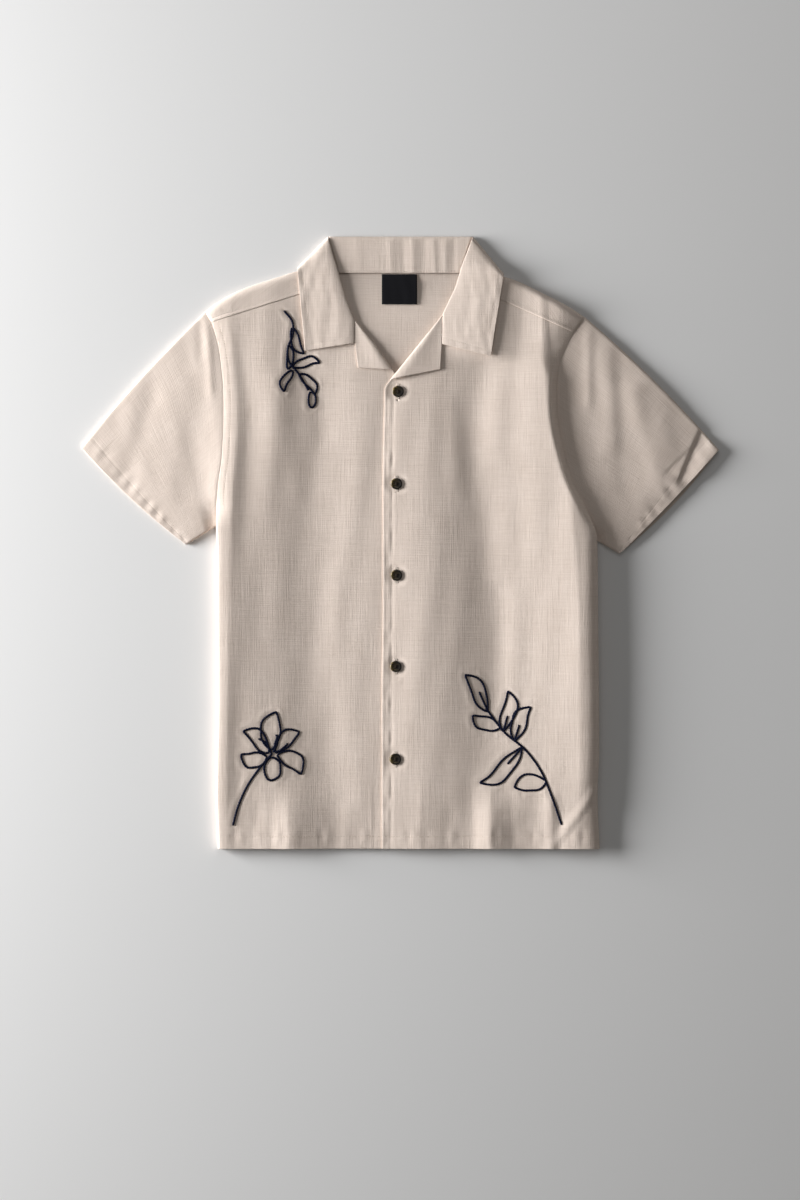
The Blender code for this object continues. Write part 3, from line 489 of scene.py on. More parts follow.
def outer_levels(side, centre_levels):
    """Levels where rows reach the side seam or the armhole."""
    return np.interp(centre_levels, (HEM, UNDERARM_CENTRE, NECK_TOP), (HEM, UNDERARM[side], SEAM_END[side]))


def unit(vectors):
    """Each row at length one."""
    return vectors / np.linalg.norm(vectors, axis=1)[:, None]


def groove(distance, centre):
    """Depth of a stitch line's groove at a distance from an edge."""
    return GROOVE_DEPTH * hump(distance - centre, GROOVE_HALF)


def spaced(start, end, step):
    """Even steps from start to end, as near to step as they divide."""
    return np.linspace(start, end, max(2, int(round(abs(end - start) / step)) + 1))


def run_along(points):
    """Length along a line of points, from its start to each of them."""
    return np.concatenate([[0.0], np.cumsum(np.linalg.norm(np.diff(points, axis=0), axis=1))])


def places_at(share, points):
    """Places at shares of the length of a line of points."""
    points = np.asarray(points, dtype=float)
    run = run_along(points)
    return np.column_stack([np.interp(share * run[-1], run, column) for column in points.T])


def resample(points, step):
    """Even points along a line of points."""
    return places_at(spaced(0.0, 1.0, step / run_along(points)[-1]), points)


# Materials

def set_inputs(material, node, **values):
    """Set a node's named inputs, from numbers or from other nodes' outputs."""
    for key, value in values.items():
        set_socket(material, node.inputs[key.replace("_", " ")], value)


def set_socket(material, socket, value):
    """Join an output to a socket, or give the socket its value."""
    if isinstance(value, bpy.types.NodeSocket):
        material.node_tree.links.new(value, socket)
    else:
        socket.default_value = value


def add_node(material, kind, **values):
    """A new node with its named inputs set."""
    node = material.node_tree.nodes.new("ShaderNode" + kind)
    set_inputs(material, node, **values)
    return node


def new_material(name, colour, **values):
    """A node material and its shader, with the shader's named inputs set."""
    material = bpy.data.materials.new(name)
    material.use_nodes = True
    shader = material.node_tree.nodes["Principled BSDF"]
    set_inputs(material, shader, Base_Color=(*colour, 1.0), **values)
    return material, shader


def maths(material, operation, *values):
    """A Math node on sockets or numbers."""
    node = add_node(material, "Math")
    node.operation = operation
    for socket, value in zip(node.inputs, values):
        set_socket(material, socket, value)
    return node.outputs[0]


def add_ramp(material, shader, share, first, last, *middle):
    """Colour a shader by a ramp; each stop is a place and a colour."""
    node = add_node(material, "ValToRGB", Fac=share)
    for element, (place, colour) in zip(node.color_ramp.elements, (first, last)):
        element.position = place
        element.color = (*colour, 1.0)
    for place, colour in middle:
        node.color_ramp.elements.new(place).color = (*colour, 1.0)
    set_inputs(material, shader, Base_Color=node.outputs["Color"])


def add_bump(material, shader, height, strength, distance):
    """Bump a shader's surface by a height."""
    node = add_node(material, "Bump", Height=height, Strength=strength, Distance=distance)
    set_inputs(material, shader, Normal=node.outputs["Normal"])


def object_place(material):
    """Output of places in the piece's own axes."""
    return add_node(material, "TexCoord").outputs["Object"]


def thread_noise(material, source, along, across, detail, offset):
    """Noise drawn out along one thread direction; scales are per metre."""
    scale, place = (across, along, 1.0), (offset, offset, 0.0)
    mapped = add_node(material, "Mapping", Vector=source, Scale=scale, Location=place).outputs["Vector"]
    noise = add_node(material, "TexNoise", Vector=mapped, Scale=1.0, Detail=detail, Roughness=0.6)
    return noise.outputs["Fac"]


def cloth_material():
    """Plain-woven slubby cotton: threads both ways, thick and thin yarns and a soft bloom."""
    light, dark, pitch = (0.83, 0.712, 0.632), (0.71, 0.595, 0.515), 0.00075
    material, shader = new_material(
        "slub cotton", light, Roughness=0.88, Sheen_Weight=0.25, Sheen_Roughness=0.6,
        Sheen_Tint=(1.0, 0.95, 0.88, 1.0), Specular_IOR_Level=0.25,
    )
    on_cloth = add_node(material, "UVMap")
    on_cloth.uv_map = "cloth"
    source = on_cloth.outputs["UV"]
    warp_slub = thread_noise(material, source, 28.0, 900.0, 3.0, 0.0)
    weft_slub = thread_noise(material, source, 900.0, 28.0, 3.0, 4.0)
    blotch = thread_noise(material, source, 26.0, 34.0, 4.0, 9.0)
    slub = maths(material, "ADD", warp_slub, weft_slub)
    yarns, cloud = maths(material, "MULTIPLY", slub, 0.375), maths(material, "MULTIPLY", blotch, 0.25)
    add_ramp(material, shader, maths(material, "ADD", yarns, cloud), (0.36, dark), (0.62, light))
    waves = []
    for direction in ("X", "Y"):
        wave = add_node(material, "TexWave", Vector=source, Scale=0.31831 / pitch / 2.0, Distortion=0.0)
        wave.bands_direction = direction
        waves.append(wave.outputs["Fac"])
    weave = maths(material, "MULTIPLY", maths(material, "MULTIPLY", *waves), 0.35)
    add_bump(material, shader, maths(material, "ADD", weave, slub), 0.5, 0.0006)
    return material


def thread_material(name, light, dark, twist, sheen=0.35):
    """Sewing or embroidery thread with the shine of twisted strands."""
    material, shader = new_material(
        name, light, Roughness=0.62, Sheen_Weight=sheen, Sheen_Roughness=0.4,
        Specular_IOR_Level=0.08 + 0.4 * sheen,
    )
    place = object_place(material)
    noise = add_node(material, "TexNoise", Vector=place, Scale=twist, Detail=3.0, Roughness=0.6)
    add_ramp(material, shader, noise.outputs["Fac"], (0.35, dark), (0.65, light))
    add_bump(material, shader, noise.outputs["Fac"], 0.5, 0.0003)
    return material


def button_material():
    """Dark horn with noise-drawn amber veins, made lighter amber towards -X as a painted highlight on the
    side the key light falls on.
    """
    material, shader = new_material(
        "dark horn", (0.03, 0.02, 0.016), Roughness=0.28, Coat_Weight=0.15, Coat_Roughness=0.15,
        Specular_IOR_Level=0.35,
    )
    place = object_place(material)
    mapped = add_node(material, "Mapping", Vector=place, Scale=(60.0, 180.0, 90.0)).outputs["Vector"]
    noise = add_node(
        material, "TexNoise", Vector=mapped, Scale=1.6, Detail=5.0, Roughness=0.55, Distortion=1.2
    )
    axes = add_node(material, "SeparateXYZ", Vector=place)
    # Painted highlight: amber is added towards each button's -X side, where the key light comes from; the
    # noise gives the horn's own veins.
    lit_side_highlight = maths(material, "MULTIPLY", axes.outputs["X"], -26.0)
    streak_and_highlight = maths(material, "ADD", noise.outputs["Fac"], lit_side_highlight)
    add_ramp(
        material, shader, streak_and_highlight, (0.42, (0.012, 0.010, 0.009)), (0.74, (0.26, 0.19, 0.07)),
        (0.58, (0.045, 0.033, 0.018)),
    )
    return material


def label_material():
    """Black satin-woven label, bare."""
    material, shader = new_material(
        "black label weave", (0.012, 0.012, 0.014), Roughness=0.8, Specular_IOR_Level=0.06
    )
    place = object_place(material)
    wave = add_node(material, "TexWave", Vector=place, Scale=420.0, Distortion=0.6, Detail=2.0)
    wave.bands_direction = "Y"
    bands = wave.outputs["Fac"]
    add_ramp(material, shader, bands, (0.0, (0.008, 0.008, 0.010)), (1.0, (0.020, 0.020, 0.023)))
    add_bump(material, shader, bands, 0.4, 0.0003)
    return material


def floor_material():
    """Plain pale painted surface with a faint tooth."""
    material, shader = new_material("pale surface", (0.8, 0.8, 0.8), Roughness=1.0, Specular_IOR_Level=0.0)
    noise = add_node(material, "TexNoise", Vector=object_place(material), Scale=600.0, Detail=2.0)
    add_bump(material, shader, noise.outputs["Fac"], 0.05, 0.0002)
    return material


# Mesh making

def linked(name, data):
    """A new object in the scene."""
    holder = bpy.data.objects.new(name, data)
    bpy.context.scene.collection.objects.link(holder)
    return holder


def new_piece(name, points, faces, material, uvs=None):
    """A smooth mesh object from points in millimetres; uvs are one place a point, in metres."""
    mesh = bpy.data.meshes.new(name)
    faces = np.asarray(faces, dtype=np.int32)
    mesh.vertices.add(len(points))
    mesh.vertices.foreach_set("co", (np.asarray(points) * MM).astype(np.float32).ravel())
    mesh.loops.add(faces.size)
    mesh.loops.foreach_set("vertex_index", faces.ravel())
    mesh.polygons.add(len(faces))
    mesh.polygons.foreach_set("loop_start", np.arange(0, faces.size, faces.shape[1], dtype=np.int32))
    if uvs is not None:
        layer = mesh.uv_layers.new(name="cloth")
        layer.data.foreach_set("uv", uvs[faces.ravel()].astype(np.float32).ravel())
    mesh.update(calc_edges=True)
    mesh.validate()
    mesh.shade_smooth()
    mesh.materials.append(material)
    return linked(name, mesh)


def grid_faces(rows, columns, flip=False, keep=None, closed=False):
    """Faces of a grid of points, as quads."""
    across = columns if closed else columns - 1
    row, column = np.meshgrid(np.arange(rows - 1), np.arange(across), indexing="ij")
    low, after = row * columns, (column + 1) % columns
    high = low + columns
    quads = np.stack([low + column, low + after, high + after, high + column], axis=-1)
    quads = quads[keep] if keep is not None else quads.reshape(-1, 4)
    return quads[:, ::-1] if flip else quads


def all_cells(grid):
    """True for every cell between the points of a grid."""
    return np.ones((grid.shape[0] - 1, grid.shape[1] - 1), bool)


def declare(piece, node=None):
    """Say which body carries a piece and which solid it replaces."""
    if node:
        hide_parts(node)
    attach(piece, "root")


def cloth_piece(name, node, grid, material, uv=None, flip=False, keep=None, closed=False, wall=WALL):
    """Thin shell from a grid of outer-face points and their places on the cloth; it replaces a node."""
    uv = grid[..., :2] if uv is None else uv
    faces = grid_faces(*grid.shape[:2], flip, keep, closed)
    used, index = np.unique(faces, return_inverse=True)
    piece = new_piece(
        name, grid.reshape(-1, 3)[used], index.reshape(faces.shape), material, uv.reshape(-1, 2)[used] * MM
    )
    shell = piece.modifiers.new("cloth wall", "SOLIDIFY")
    shell.thickness = wall * MM
    shell.offset = -1.0
    shell.use_rim = True
    declare(piece, node)
    return piece


def tube_along(points, radii, sides, flat=1.0):
    """Rings of an open tube along points that lie on the cloth; flat squashes its height."""
    points = np.asarray(points, dtype=float)
    ahead = unit(np.gradient(points, axis=0))
    across = unit(np.cross(ahead, (0.0, 0.0, 1.0)))
    lift = np.cross(across, ahead)
    turn = np.linspace(0.0, 2.0 * math.pi, sides, endpoint=False)[None, :, None]
    ring = across[:, None] * np.cos(turn) + lift[:, None] * (flat * np.sin(turn))
    return points[:, None] + ring * np.broadcast_to(radii, len(points))[:, None, None]


def joined_tubes(name, tubes, material):
    """One piece from several tubes."""
    points, faces, start = [], [], 0
    for rings in tubes:
        count, sides = rings.shape[:2]
        points.append(rings.reshape(-1, 3))
        faces.append(grid_faces(count, sides, closed=True) + start)
        start += count * sides
    declare(new_piece(name, np.vstack(points), np.vstack(faces)[:, ::-1], material))


def stitch_tubes(path, stitch, gap, radius):
    """Sewing stitches as short tapered tubes along a path of cloth points."""
    fine = resample(path, (stitch + gap) / 6.0)
    shape = np.array([0.15, 0.8, 1.0, 0.8, 0.15])
    sink = np.array([-0.35, 0.0, 0.1, 0.0, -0.35])
    rings = []
    for start in range(0, len(fine) - 5, 6):
        part = fine[start:start + 5].copy()
        part[:, 2] += sink * radius * 2.0
        rings.append(tube_along(part, radius * shape, 6))
    return rings


def on_front(side, places, lift):
    """Places in the plane as points on a front's top face, raised by lift."""
    return np.column_stack([places, body_height(side, *places.T, FINE_WAVES) + lift])


def make_front(side, material):
    """One front as a fine shell, with its hem, armhole stitch line and rolled side edge."""
    sign, outline, centre = SIGN[side], OUTLINE[side], CENTRE[side]
    top_rows = NECK_TOP - np.array([3.0, 1.6, 0.8, 0.0])
    middle_rows = spaced(HEM + 18.5, NECK_TOP - 5.0, FINE)
    centre_levels = np.concatenate([HEM + np.array(HEM_STEPS), middle_rows, top_rows])
    if side == "left":
        ends = [level + end * BUTTONHOLE_HALF_LENGTH for level in BUTTON_LEVELS for end in (-1.0, 1.0)]
        centre_levels = np.unique(np.concatenate([centre_levels, ends]))
    levels = outer_levels(side, centre_levels)
    outer = edge_points(outline, levels) - (sign * SEAM_GAP / 2.0, 0.0)
    inner = edge_points(centre, centre_levels)
    slit = BUTTON_FROM_EDGE + BUTTONHOLE_WIDTH * np.array([-0.3, 0.3])
    back_steps = np.array([*BACK_STEPS, *slit, 19.0, 22.0, 25.0])
    rows = []
    for start, end in zip(outer, inner):
        width = np.hypot(*(end - start))
        far = width - back_steps[::-1]
        between = np.linspace(ROLL_STEPS[-1], far[0], int(FRONT_SPAN / FINE))[1:-1]
        along = np.concatenate([ROLL_STEPS, between, far])[:, None] / width
        rows.append(start + (end - start) * along)
    flat = np.array(rows)
    x, y = flat[..., 0].ravel(), flat[..., 1].ravel()
    height = body_height(side, x, y, FINE_WAVES)
    inboard = sign * (table_curve(outline, y) - x)
    at_armhole = ease((y - outer_levels(side, UNDERARM_CENTRE) - 20.0) / 30.0)
    height -= groove(inboard, ARMHOLE_STITCH) * at_armhole
    height -= (SLEEVE_DIP if side == "right" else SEAM_DIP) * np.exp(-inboard / 1.2) * at_armhole
    ripple = 0.6 * np.sin(y / 1.9 + 0.7 * np.sin(y / 11.0)) + 0.4 * np.sin(y / 3.1)
    height += 0.2 * ripple * at_armhole * hump(inboard - 5.0, 3.6)
    height -= SEAM_DIP * np.exp(-(NECK_TOP - np.repeat(centre_levels, flat.shape[1])) / 1.2)
    height += stitch_pull(side, x, y) - groove(y - HEM, HEM_DEPTH)
    if side == "left":
        from_lap = x - table_curve(centre, y)
        lap = 0.6 * np.sin(y / 4.3) * np.sin(y / 23.0) + 0.6 * np.sin(y / 7.9 + 1.0) + 0.4 * np.sin(y / 13.0)
        below_neck = ease((188.0 - y) / 6.0)
        height += LAP_PUCKER * lap * hump(from_lap - 8.0, 4.5) * below_neck
        height -= LAP_GROOVE * (1.0 + 0.9 * lap) * hump(from_lap - 11.0, 1.8) * below_neck
        height += LAP_RIDGE * hump(from_lap - 1.7, 1.1)
    height += HEM_PUCKER * hem_puckers(x) * hump(y - HEM - HEM_DEPTH, 9.0)
    grid = np.dstack([flat, height.reshape(flat.shape[:2])])
    keep = all_cells(grid)
    if side == "left":
        column = grid.shape[1] - 1 - int(np.searchsorted(back_steps, slit[1]))
        for level in BUTTON_LEVELS:
            inside = np.abs((centre_levels[:-1] + centre_levels[1:]) / 2.0 - level) < BUTTONHOLE_HALF_LENGTH
            keep[inside, column] = False
    piece = cloth_piece(
        "cloth_front_" + side, "front_" + side, grid, material, flip=side == "left", keep=keep
    )


def cuff_puckers(run):
    """Puckers across a cuff's hem, stronger towards the underarm."""
    swing = 0.6 * np.sin(run / 2.5) + 0.5 * np.sin(run / 3.6 + 2.0) + 0.3 * np.sin(run / 6.8 + 1.0)
    return swing * (0.45 + 0.55 * ease((run - 40.0) / 60.0))


def hem_puckers(x):
    """Small uneven puckers that the hem's stitching draws in, along the hem."""
    fine = 0.5 * np.sin(x / 2.1) * np.sin(x / 17.0 + 1.0)
    return fine + 0.6 * np.sin(x / 3.4 + 2.0) + 0.4 * np.sin(x / 7.7)


def shoulder_strip(side, count):
    """The fold line and the forward seam of the back's turned-over shoulder, from the armhole inwards."""
    tip, top = OUTLINE[side][-1][1], SEAM_END[side]
    neck_end = SHOULDER[side][-1 if side == "right" else 0][0]
    seam_outer = edge_points(OUTLINE[side], [top])
    seam_inner = edge_points(CENTRE[side], [NECK_TOP]) + (SIGN[side] * 3.0, 0.0)
    along = np.linspace(0.0, 1.0, count)
    x = tip + (neck_end - tip) * along
    fold = np.column_stack([x, table_curve(SHOULDER[side], x)])
    return fold, seam_outer + (seam_inner - seam_outer) * along[:, None]


def neck_puff(x, y):
    """How far the back lifts off the floor inside the neck opening."""
    return NECK_PUFF * ease((98.0 - np.abs(x)) / 30.0) * ease((y - 190.0) / 45.0) * ease((330.0 - y) / 16.0)


def make_back(material):
    """The back: flat on the floor, soft inside the neck, and turned over at the shoulders."""
    levels = spaced(HEM, NECK_TOP, 6.0)
    start, end = (edge_points(OUTLINE[side], outer_levels(side, levels)) for side in SIDES)
    fold_r, seam_r = shoulder_strip("right", STRIP_COLUMNS)
    fold_l, seam_l = (line[::-1] for line in shoulder_strip("left", STRIP_COLUMNS))
    neck_x = np.linspace(fold_r[-1, 0], fold_l[0, 0], NECK_COLUMNS + 2)[1:-1]
    neck = np.column_stack([neck_x, np.full(NECK_COLUMNS, BACK_NECK_EDGE + FOLD_RADIUS)])
    top_line = np.vstack([fold_r, neck, fold_l])
    down = np.tile((0.0, -1.0), (NECK_COLUMNS, 1))
    inward = np.vstack([unit(seam_r - fold_r), down, unit(seam_l - fold_l)])
    count = len(top_line)
    share = (np.arange(count) / (count - 1.0))[:, None]
    rows = []
    for right, left in zip(start, end):
        spread = right + (left - right) * share
        rows.append(np.column_stack([spread, neck_puff(*spread.T)]))
    for turn in np.linspace(0.0, math.pi / 2.0, TURN_ROWS):
        place = top_line + inward * FOLD_RADIUS * (1.0 - math.sin(turn))
        rows.append(np.column_stack([place, np.full(count, FOLD_RADIUS * (1.0 - math.cos(turn)))]))
    for forward in STRIP_SHARES:
        line = []
        for fold, seam, side in ((fold_r, seam_r, "right"), (fold_l, seam_l, "left")):
            reach = np.hypot(*(seam - fold).T)
            short = (reach + SEAM_OVERLAP) / reach
            place = fold + (seam - fold) * (forward * short)[:, None]
            away = reach * forward
            level = body_height(side, *place.T, FINE_WAVES)
            height = FOLD_RADIUS + (level - FOLD_RADIUS) * roll(away / SHOULDER_ROLL)
            height += 0.3 * ease((forward - 0.8) / 0.1) - groove(reach - away, SHOULDER_STITCH)
            line.append(np.column_stack([place, height]))
        rows.append(np.vstack([line[0], np.column_stack([neck, np.zeros(NECK_COLUMNS)]), line[1]]))
    grid = np.array(rows)
    uv = grid[..., :2].copy()
    turned = len(levels) + TURN_ROWS
    uv[turned:, :, 1] = 2.0 * top_line[None, :, 1] - uv[turned:, :, 1]
    keep = all_cells(grid)
    keep[len(levels):, STRIP_COLUMNS - 1:STRIP_COLUMNS + NECK_COLUMNS] = False
    piece = cloth_piece("cloth_back", "back", grid, material, uv, flip=True, keep=keep, wall=1.1)


def armhole_points(side):
    """The armhole from the shoulder tip down to the underarm."""
    levels = outer_levels(side, spaced(NECK_TOP, UNDERARM_CENTRE, FINE * 1.2))
    levels = np.concatenate([np.linspace(OUTLINE[side][-1][0], levels[0], 5)[:-1], levels])
    return edge_points(OUTLINE[side], levels)


def make_sleeve(side, material):
    """A flattened sleeve tube with its cap ridge, folds, cuff hem and the hem's puckers."""
    sleeve, sign = SLEEVE[side], SIGN[side]
    arm = armhole_points(side)
    arm[:, 0] += sign * ARMHOLE_GAP * 0.5
    arm_length = run_along(arm)[-1]
    cuff_top = np.array(sleeve.cuff_top)
    cuff = sleeve.cuff_under - cuff_top
    cuff_length = np.hypot(*cuff)
    cuff_out = sign * np.array([-cuff[1], cuff[0]]) / cuff_length
    near, margin = np.array(CUFF_EDGE_STEPS) / cuff_length, UNDER_MARGIN / cuff_length
    top_share = np.concatenate([near, np.linspace(near[-1], 1.0 - near[-1], 96)[1:-1], 1.0 - near[::-1]])
    low_share = np.linspace(margin, 1.0 - margin, 40)
    stations = np.concatenate([
        (-0.012, -0.006), np.linspace(0.0, 0.1, 9), np.linspace(0.1, 1.0 - 20.0 / SLEEVE_REACH, 80)[1:],
        1.0 - np.array(CUFF_HEM_STEPS) / SLEEVE_REACH,
    ])

    def across(share, station):
        """Places round the tube at one station along the sleeve."""
        station = max(station, 0.0)
        start = places_at(share, arm)
        end = cuff_top + cuff * share[:, None]
        end += cuff_out * (sleeve.cuff_bow * 4.0 * share * (1.0 - share))[:, None]
        fold_out = np.array([sign, 1.0]) / math.sqrt(2.0)
        bow = sleeve.fold_bow * 4.0 * station * (1.0 - station) * (1.0 - ease(share * 4.0))
        return start + (end - start) * station + fold_out * bow[:, None]

    rows, uv = [], []
    for station in stations:
        place = across(top_share, station)
        x, y = place.T
        away = np.minimum(top_share, 1.0 - top_share) * (arm_length + (cuff_length - arm_length) * station)
        from_cuff = (1.0 - station) * SLEEVE_REACH
        near_body = edge_height(side, y)
        middle = curve_through(SLEEVE_HEIGHT_PLACES, SLEEVE_HEIGHTS, station)
        base = near_body + (middle - near_body) * ease(max(station, 0.0) / SLEEVE_HEIGHT_PLACES[2])
        folds = add_folds(SLEEVE_FOLDS[side], x, y)
        folds += add_folds(SLEEVE_CREASES[side], x, y, crease_shape, 12.0)
        base += folds * ease(station / 0.06)
        base += FINE_WAVES * soft_waves(x, y, 23, 40.0, 1.6) * ease(station / 0.1)
        base -= groove(from_cuff, CUFF_STITCH)
        base += CUFF_PUCKER * cuff_puckers(top_share * cuff_length) * hump(from_cuff - 12.0, 9.0)
        turned = roll(away / SLEEVE_ROLL)
        rise = SLEEVE_EDGE * turned + (1.0 - SLEEVE_EDGE) * ease(0.5 + away / SLEEVE_RISE * 0.5)
        rise -= (1.0 - SLEEVE_EDGE) * 0.5 * (1.0 - turned)
        height = FOLD_RADIUS + (base - FOLD_RADIUS) * rise
        height -= SLEEVE_DIP * math.exp(-station * SLEEVE_REACH / 1.6) * roll(away / 6.0)
        longer = ease((station - 0.9) / 0.1) * CUFF_UNDER[side] * np.sin(math.pi * low_share)
        below = across(low_share, station) + cuff_out * longer[:, None]
        tuck = sign * min(station, 0.0) * SLEEVE_REACH
        place[:, 0] += tuck * (UNDER_TUCK + (1.0 - UNDER_TUCK) * roll(away / 12.0))
        below[:, 0] += tuck * UNDER_TUCK
        top = np.column_stack([place, height])
        low = np.column_stack([below, np.zeros(len(below))])[::-1]
        rows.append(np.vstack([top, low]))
        round_cuff = np.concatenate([top_share, 2.0 - low_share[::-1]]) * cuff_length
        uv.append(np.column_stack([round_cuff, np.full(len(round_cuff), station * SLEEVE_REACH)]))
    piece = cloth_piece(
        "cloth_sleeve_" + side, "sleeve_" + side, np.array(rows), material, np.array(uv),
        flip=side == "right", closed=True,
    )


def diagonal_distance(leaf, place):
    """Distance from the collar's diagonal fold."""
    start = np.array(leaf.roll[0])
    along = leaf.shoulder_corner - start
    along /= np.hypot(*along)
    offset = place - start
    return np.abs(offset[:, 0] * along[1] - offset[:, 1] * along[0])


def leaf_height(side, place, from_roll, to_edge):
    """Top-face height of a collar leaf: full near its roll line, with a stiff, lifted outer edge."""
    x, y = place.T
    rest = relief(side, x, y) + add_folds(FRONT_FOLDS, x, y) + CLOTH + LAY_GAP
    share = from_roll / (from_roll + to_edge + 1e-6)
    full = LEAF_FULL[side] * roll(from_roll / LEAF_PUFF_WIDTH) * (1.0 - ease(share))
    crinkle = 0.16 * soft_waves(x, y, 31, 17.0, 1.3) * ease(share * 3.0)
    return rest + full + LEAF_LIFT[side] * share + crinkle


def leaf_ends(side, along):
    """Roll-line place, outer-edge place and width of a leaf; along is 0 at its lower edge, 1 at the top."""
    leaf = LEAF[side]
    inner = places_at(along, [leaf.gorge_end, *leaf.roll[::-1]])[0]
    outer = places_at(along, [leaf.tip, leaf.shoulder_corner])[0]
    return inner, outer, np.hypot(*(outer - inner))


def leaf_points(side, along, shares):
    """Points of a leaf's top face at one place along it and several shares of its width."""
    leaf = LEAF[side]
    inner, outer, reach = leaf_ends(side, along)
    place = inner + (outer - inner) * shares[:, None]
    rest = leaf_height(side, place, shares * reach, (1.0 - shares) * reach)
    down = along * np.hypot(*np.subtract(leaf.tip, leaf.shoulder_corner))
    rest -= groove(np.minimum((1.0 - shares) * reach, down), COLLAR_STITCH)
    low = COLLAR_TOP_RADIUS + DIAGONAL_RISE * shares
    away = diagonal_distance(leaf, place)
    soft = np.clip(away / (DIAGONAL_ROLL + (DIAGONAL_END_ROLL - DIAGONAL_ROLL) * shares), 0.0, 1.0)
    rise = DIAGONAL_STEEP * roll(away / 2.0) + (1.0 - DIAGONAL_STEEP) * soft * (2.0 - soft)
    return np.column_stack([place, low + (rest - low) * rise])


def leaf_columns(side, shares):
    """Columns of one leaf up to the diagonal fold, close together at its lower edge and stitch line."""
    edge = np.array([0.0, 0.6, 1.6, 3.2, 4.8, 5.7, 6.2, 6.8, 7.3, 8.2, 10.0]) / LEAF_LENGTH
    return [leaf_points(side, along, shares) for along in (*edge, *np.linspace(edge[-1], 1.0, 46)[1:])]


def leaf_stitch_path(side):
    """Stitch line of a leaf, along its lower edge and then its outer edge."""
    def stitched(along):
        """Share of the leaf's width where the stitch line runs."""
        return 1.0 - COLLAR_STITCH / leaf_ends(side, along)[2]

    low = COLLAR_STITCH / LEAF_LENGTH
    path = [leaf_points(side, low, spaced(0.03, stitched(0.0), 0.03))]
    path += [leaf_points(side, along, np.array([stitched(along)])) for along in spaced(low, 0.93, 0.02)[1:]]
    return np.vstack(path)


def make_collar(material):
    """The collar band: leaves, the fall behind on the floor, and the puckered stand."""
    fall_rows = np.concatenate([
        [0.0, 0.008, 0.02, 0.04, 0.07, 0.11], np.linspace(0.16, 0.8, 12),
        [0.84, 0.855, 0.87, 0.885, 0.9, 0.93, 0.965, 0.99, 1.0],
    ])
    stand_rows = np.array([
        1.0, 0.985, 0.95, 0.91, 0.86, 0.8, 0.73, 0.65, 0.57, 0.49, 0.41, 0.34, 0.28, 0.22, 0.17, 0.12, 0.08,
        0.05, 0.025, 0.01,
    ])
    right, left = leaf_columns("right", fall_rows), leaf_columns("left", fall_rows)[::-1]
    start, end = LEAF["right"].shoulder_corner, LEAF["left"].shoulder_corner
    tops = np.linspace(-COLLAR_CORNER + 0.6, COLLAR_CORNER - 0.6, FALL_COLUMNS)
    lows = np.linspace(start[0] + 4.5, end[0] - 4.5, FALL_COLUMNS)
    edge_levels = (start[1], FALL_BACK_EDGE, FALL_BACK_EDGE, end[1])
    edges = np.interp(lows, (start[0], -95.0, 95.0, end[0]), edge_levels)
    fall = []
    for top, low, edge in zip(tops, lows, edges):
        inner = np.array([top, COLLAR_TOP])
        place = inner + (np.array([low, edge]) - inner) * fall_rows[:, None]
        drop = COLLAR_TOP_RADIUS * (1.0 - roll((COLLAR_TOP - place[:, 1]) / COLLAR_TOP_RADIUS))
        fall.append(np.column_stack([place, drop]))
    rise = COLLAR_TOP_RADIUS + (STAND_TOP - COLLAR_TOP_RADIUS) * roll(stand_rows / 0.25)
    rise += (STAND_EDGE_TOP - STAND_TOP) * ease((stand_rows - 0.45) / 0.55)
    first, last = len(right), len(right) + len(fall) - 1
    columns = []
    for index, column in enumerate(right + fall + left):
        top = column[0]
        stand = np.tile(top, (len(stand_rows), 1))
        if first <= index <= last:
            foot_x = np.interp(top[0], (-COLLAR_CORNER, COLLAR_CORNER), (-75.6, 73.6))
            place = top[:2] + (np.array([foot_x, STAND_SEAM]) - top[:2]) * stand_rows[:, None]
            height = rise + add_folds(STAND_PUCKERS, *place.T) * ease(stand_rows / 0.15)
            height -= 0.8 * groove((1.0 - stand_rows) * STAND_DEPTH, 2.5)
            stand = np.column_stack([place, height])
        columns.append(np.vstack([stand, column]))
    grid = np.array(columns).transpose(1, 0, 2)
    keep = all_cells(grid)
    keep[:len(stand_rows), :first] = False
    keep[:len(stand_rows), last:] = False
    piece = cloth_piece("cloth_collar", "collar", grid, material, keep=keep, wall=1.1)


def make_lapel(side, material):
    """The turned-out facing on its front."""
    lapel = LAPEL[side]
    along = np.linspace(0.0, 1.0, LAPEL_ROWS)
    shares = np.concatenate([[0.0, 0.015, 0.04, 0.08, 0.13], np.linspace(0.2, 0.95, 20), [0.985, 1.0]])
    rows = []
    for start, end in zip(places_at(along, lapel.roll), places_at(along, lapel.outer)):
        place = start + (end - start) * shares[:, None]
        rest = body_height(side, *place.T) + CLOTH + LAY_GAP
        full = roll(shares / 0.3) * (1.0 - ease(shares)) * min(1.0, np.hypot(*(end - start)) / 30.0)
        rows.append(np.column_stack([place, rest + LAPEL_PUFF * full]))
    grid = np.array(rows)
    piece = cloth_piece(
        "cloth_lapel_" + side, "lapel_facing_" + side, grid, material, flip=side == "left", wall=1.0
    )


def make_label(material):
    """The bare woven label with softly rounded, folded edges."""
    width, length, thick = LABEL_SIZE
    shares = np.concatenate([[0.0, 0.008, 0.02], np.linspace(0.05, 0.95, 16), [0.98, 0.992, 1.0]])
    u, v = np.meshgrid(shares, shares)
    near = np.minimum(np.minimum(u, 1.0 - u) * width, np.minimum(v, 1.0 - v) * length)
    x = LABEL_CENTRE[0] + (u - 0.5) * width
    y = LABEL_CENTRE[1] + (v - 0.5) * length
    z = CLOTH + 0.45 + neck_puff(x, y) + thick * roll(near / 1.2)
    z += 0.12 * soft_waves(x, y, 5, 20.0, 1.0) * ease(near / 5.0)
    grid = np.dstack([x, y, z])
    piece = cloth_piece("woven_label", "label", grid, material, wall=0.35)


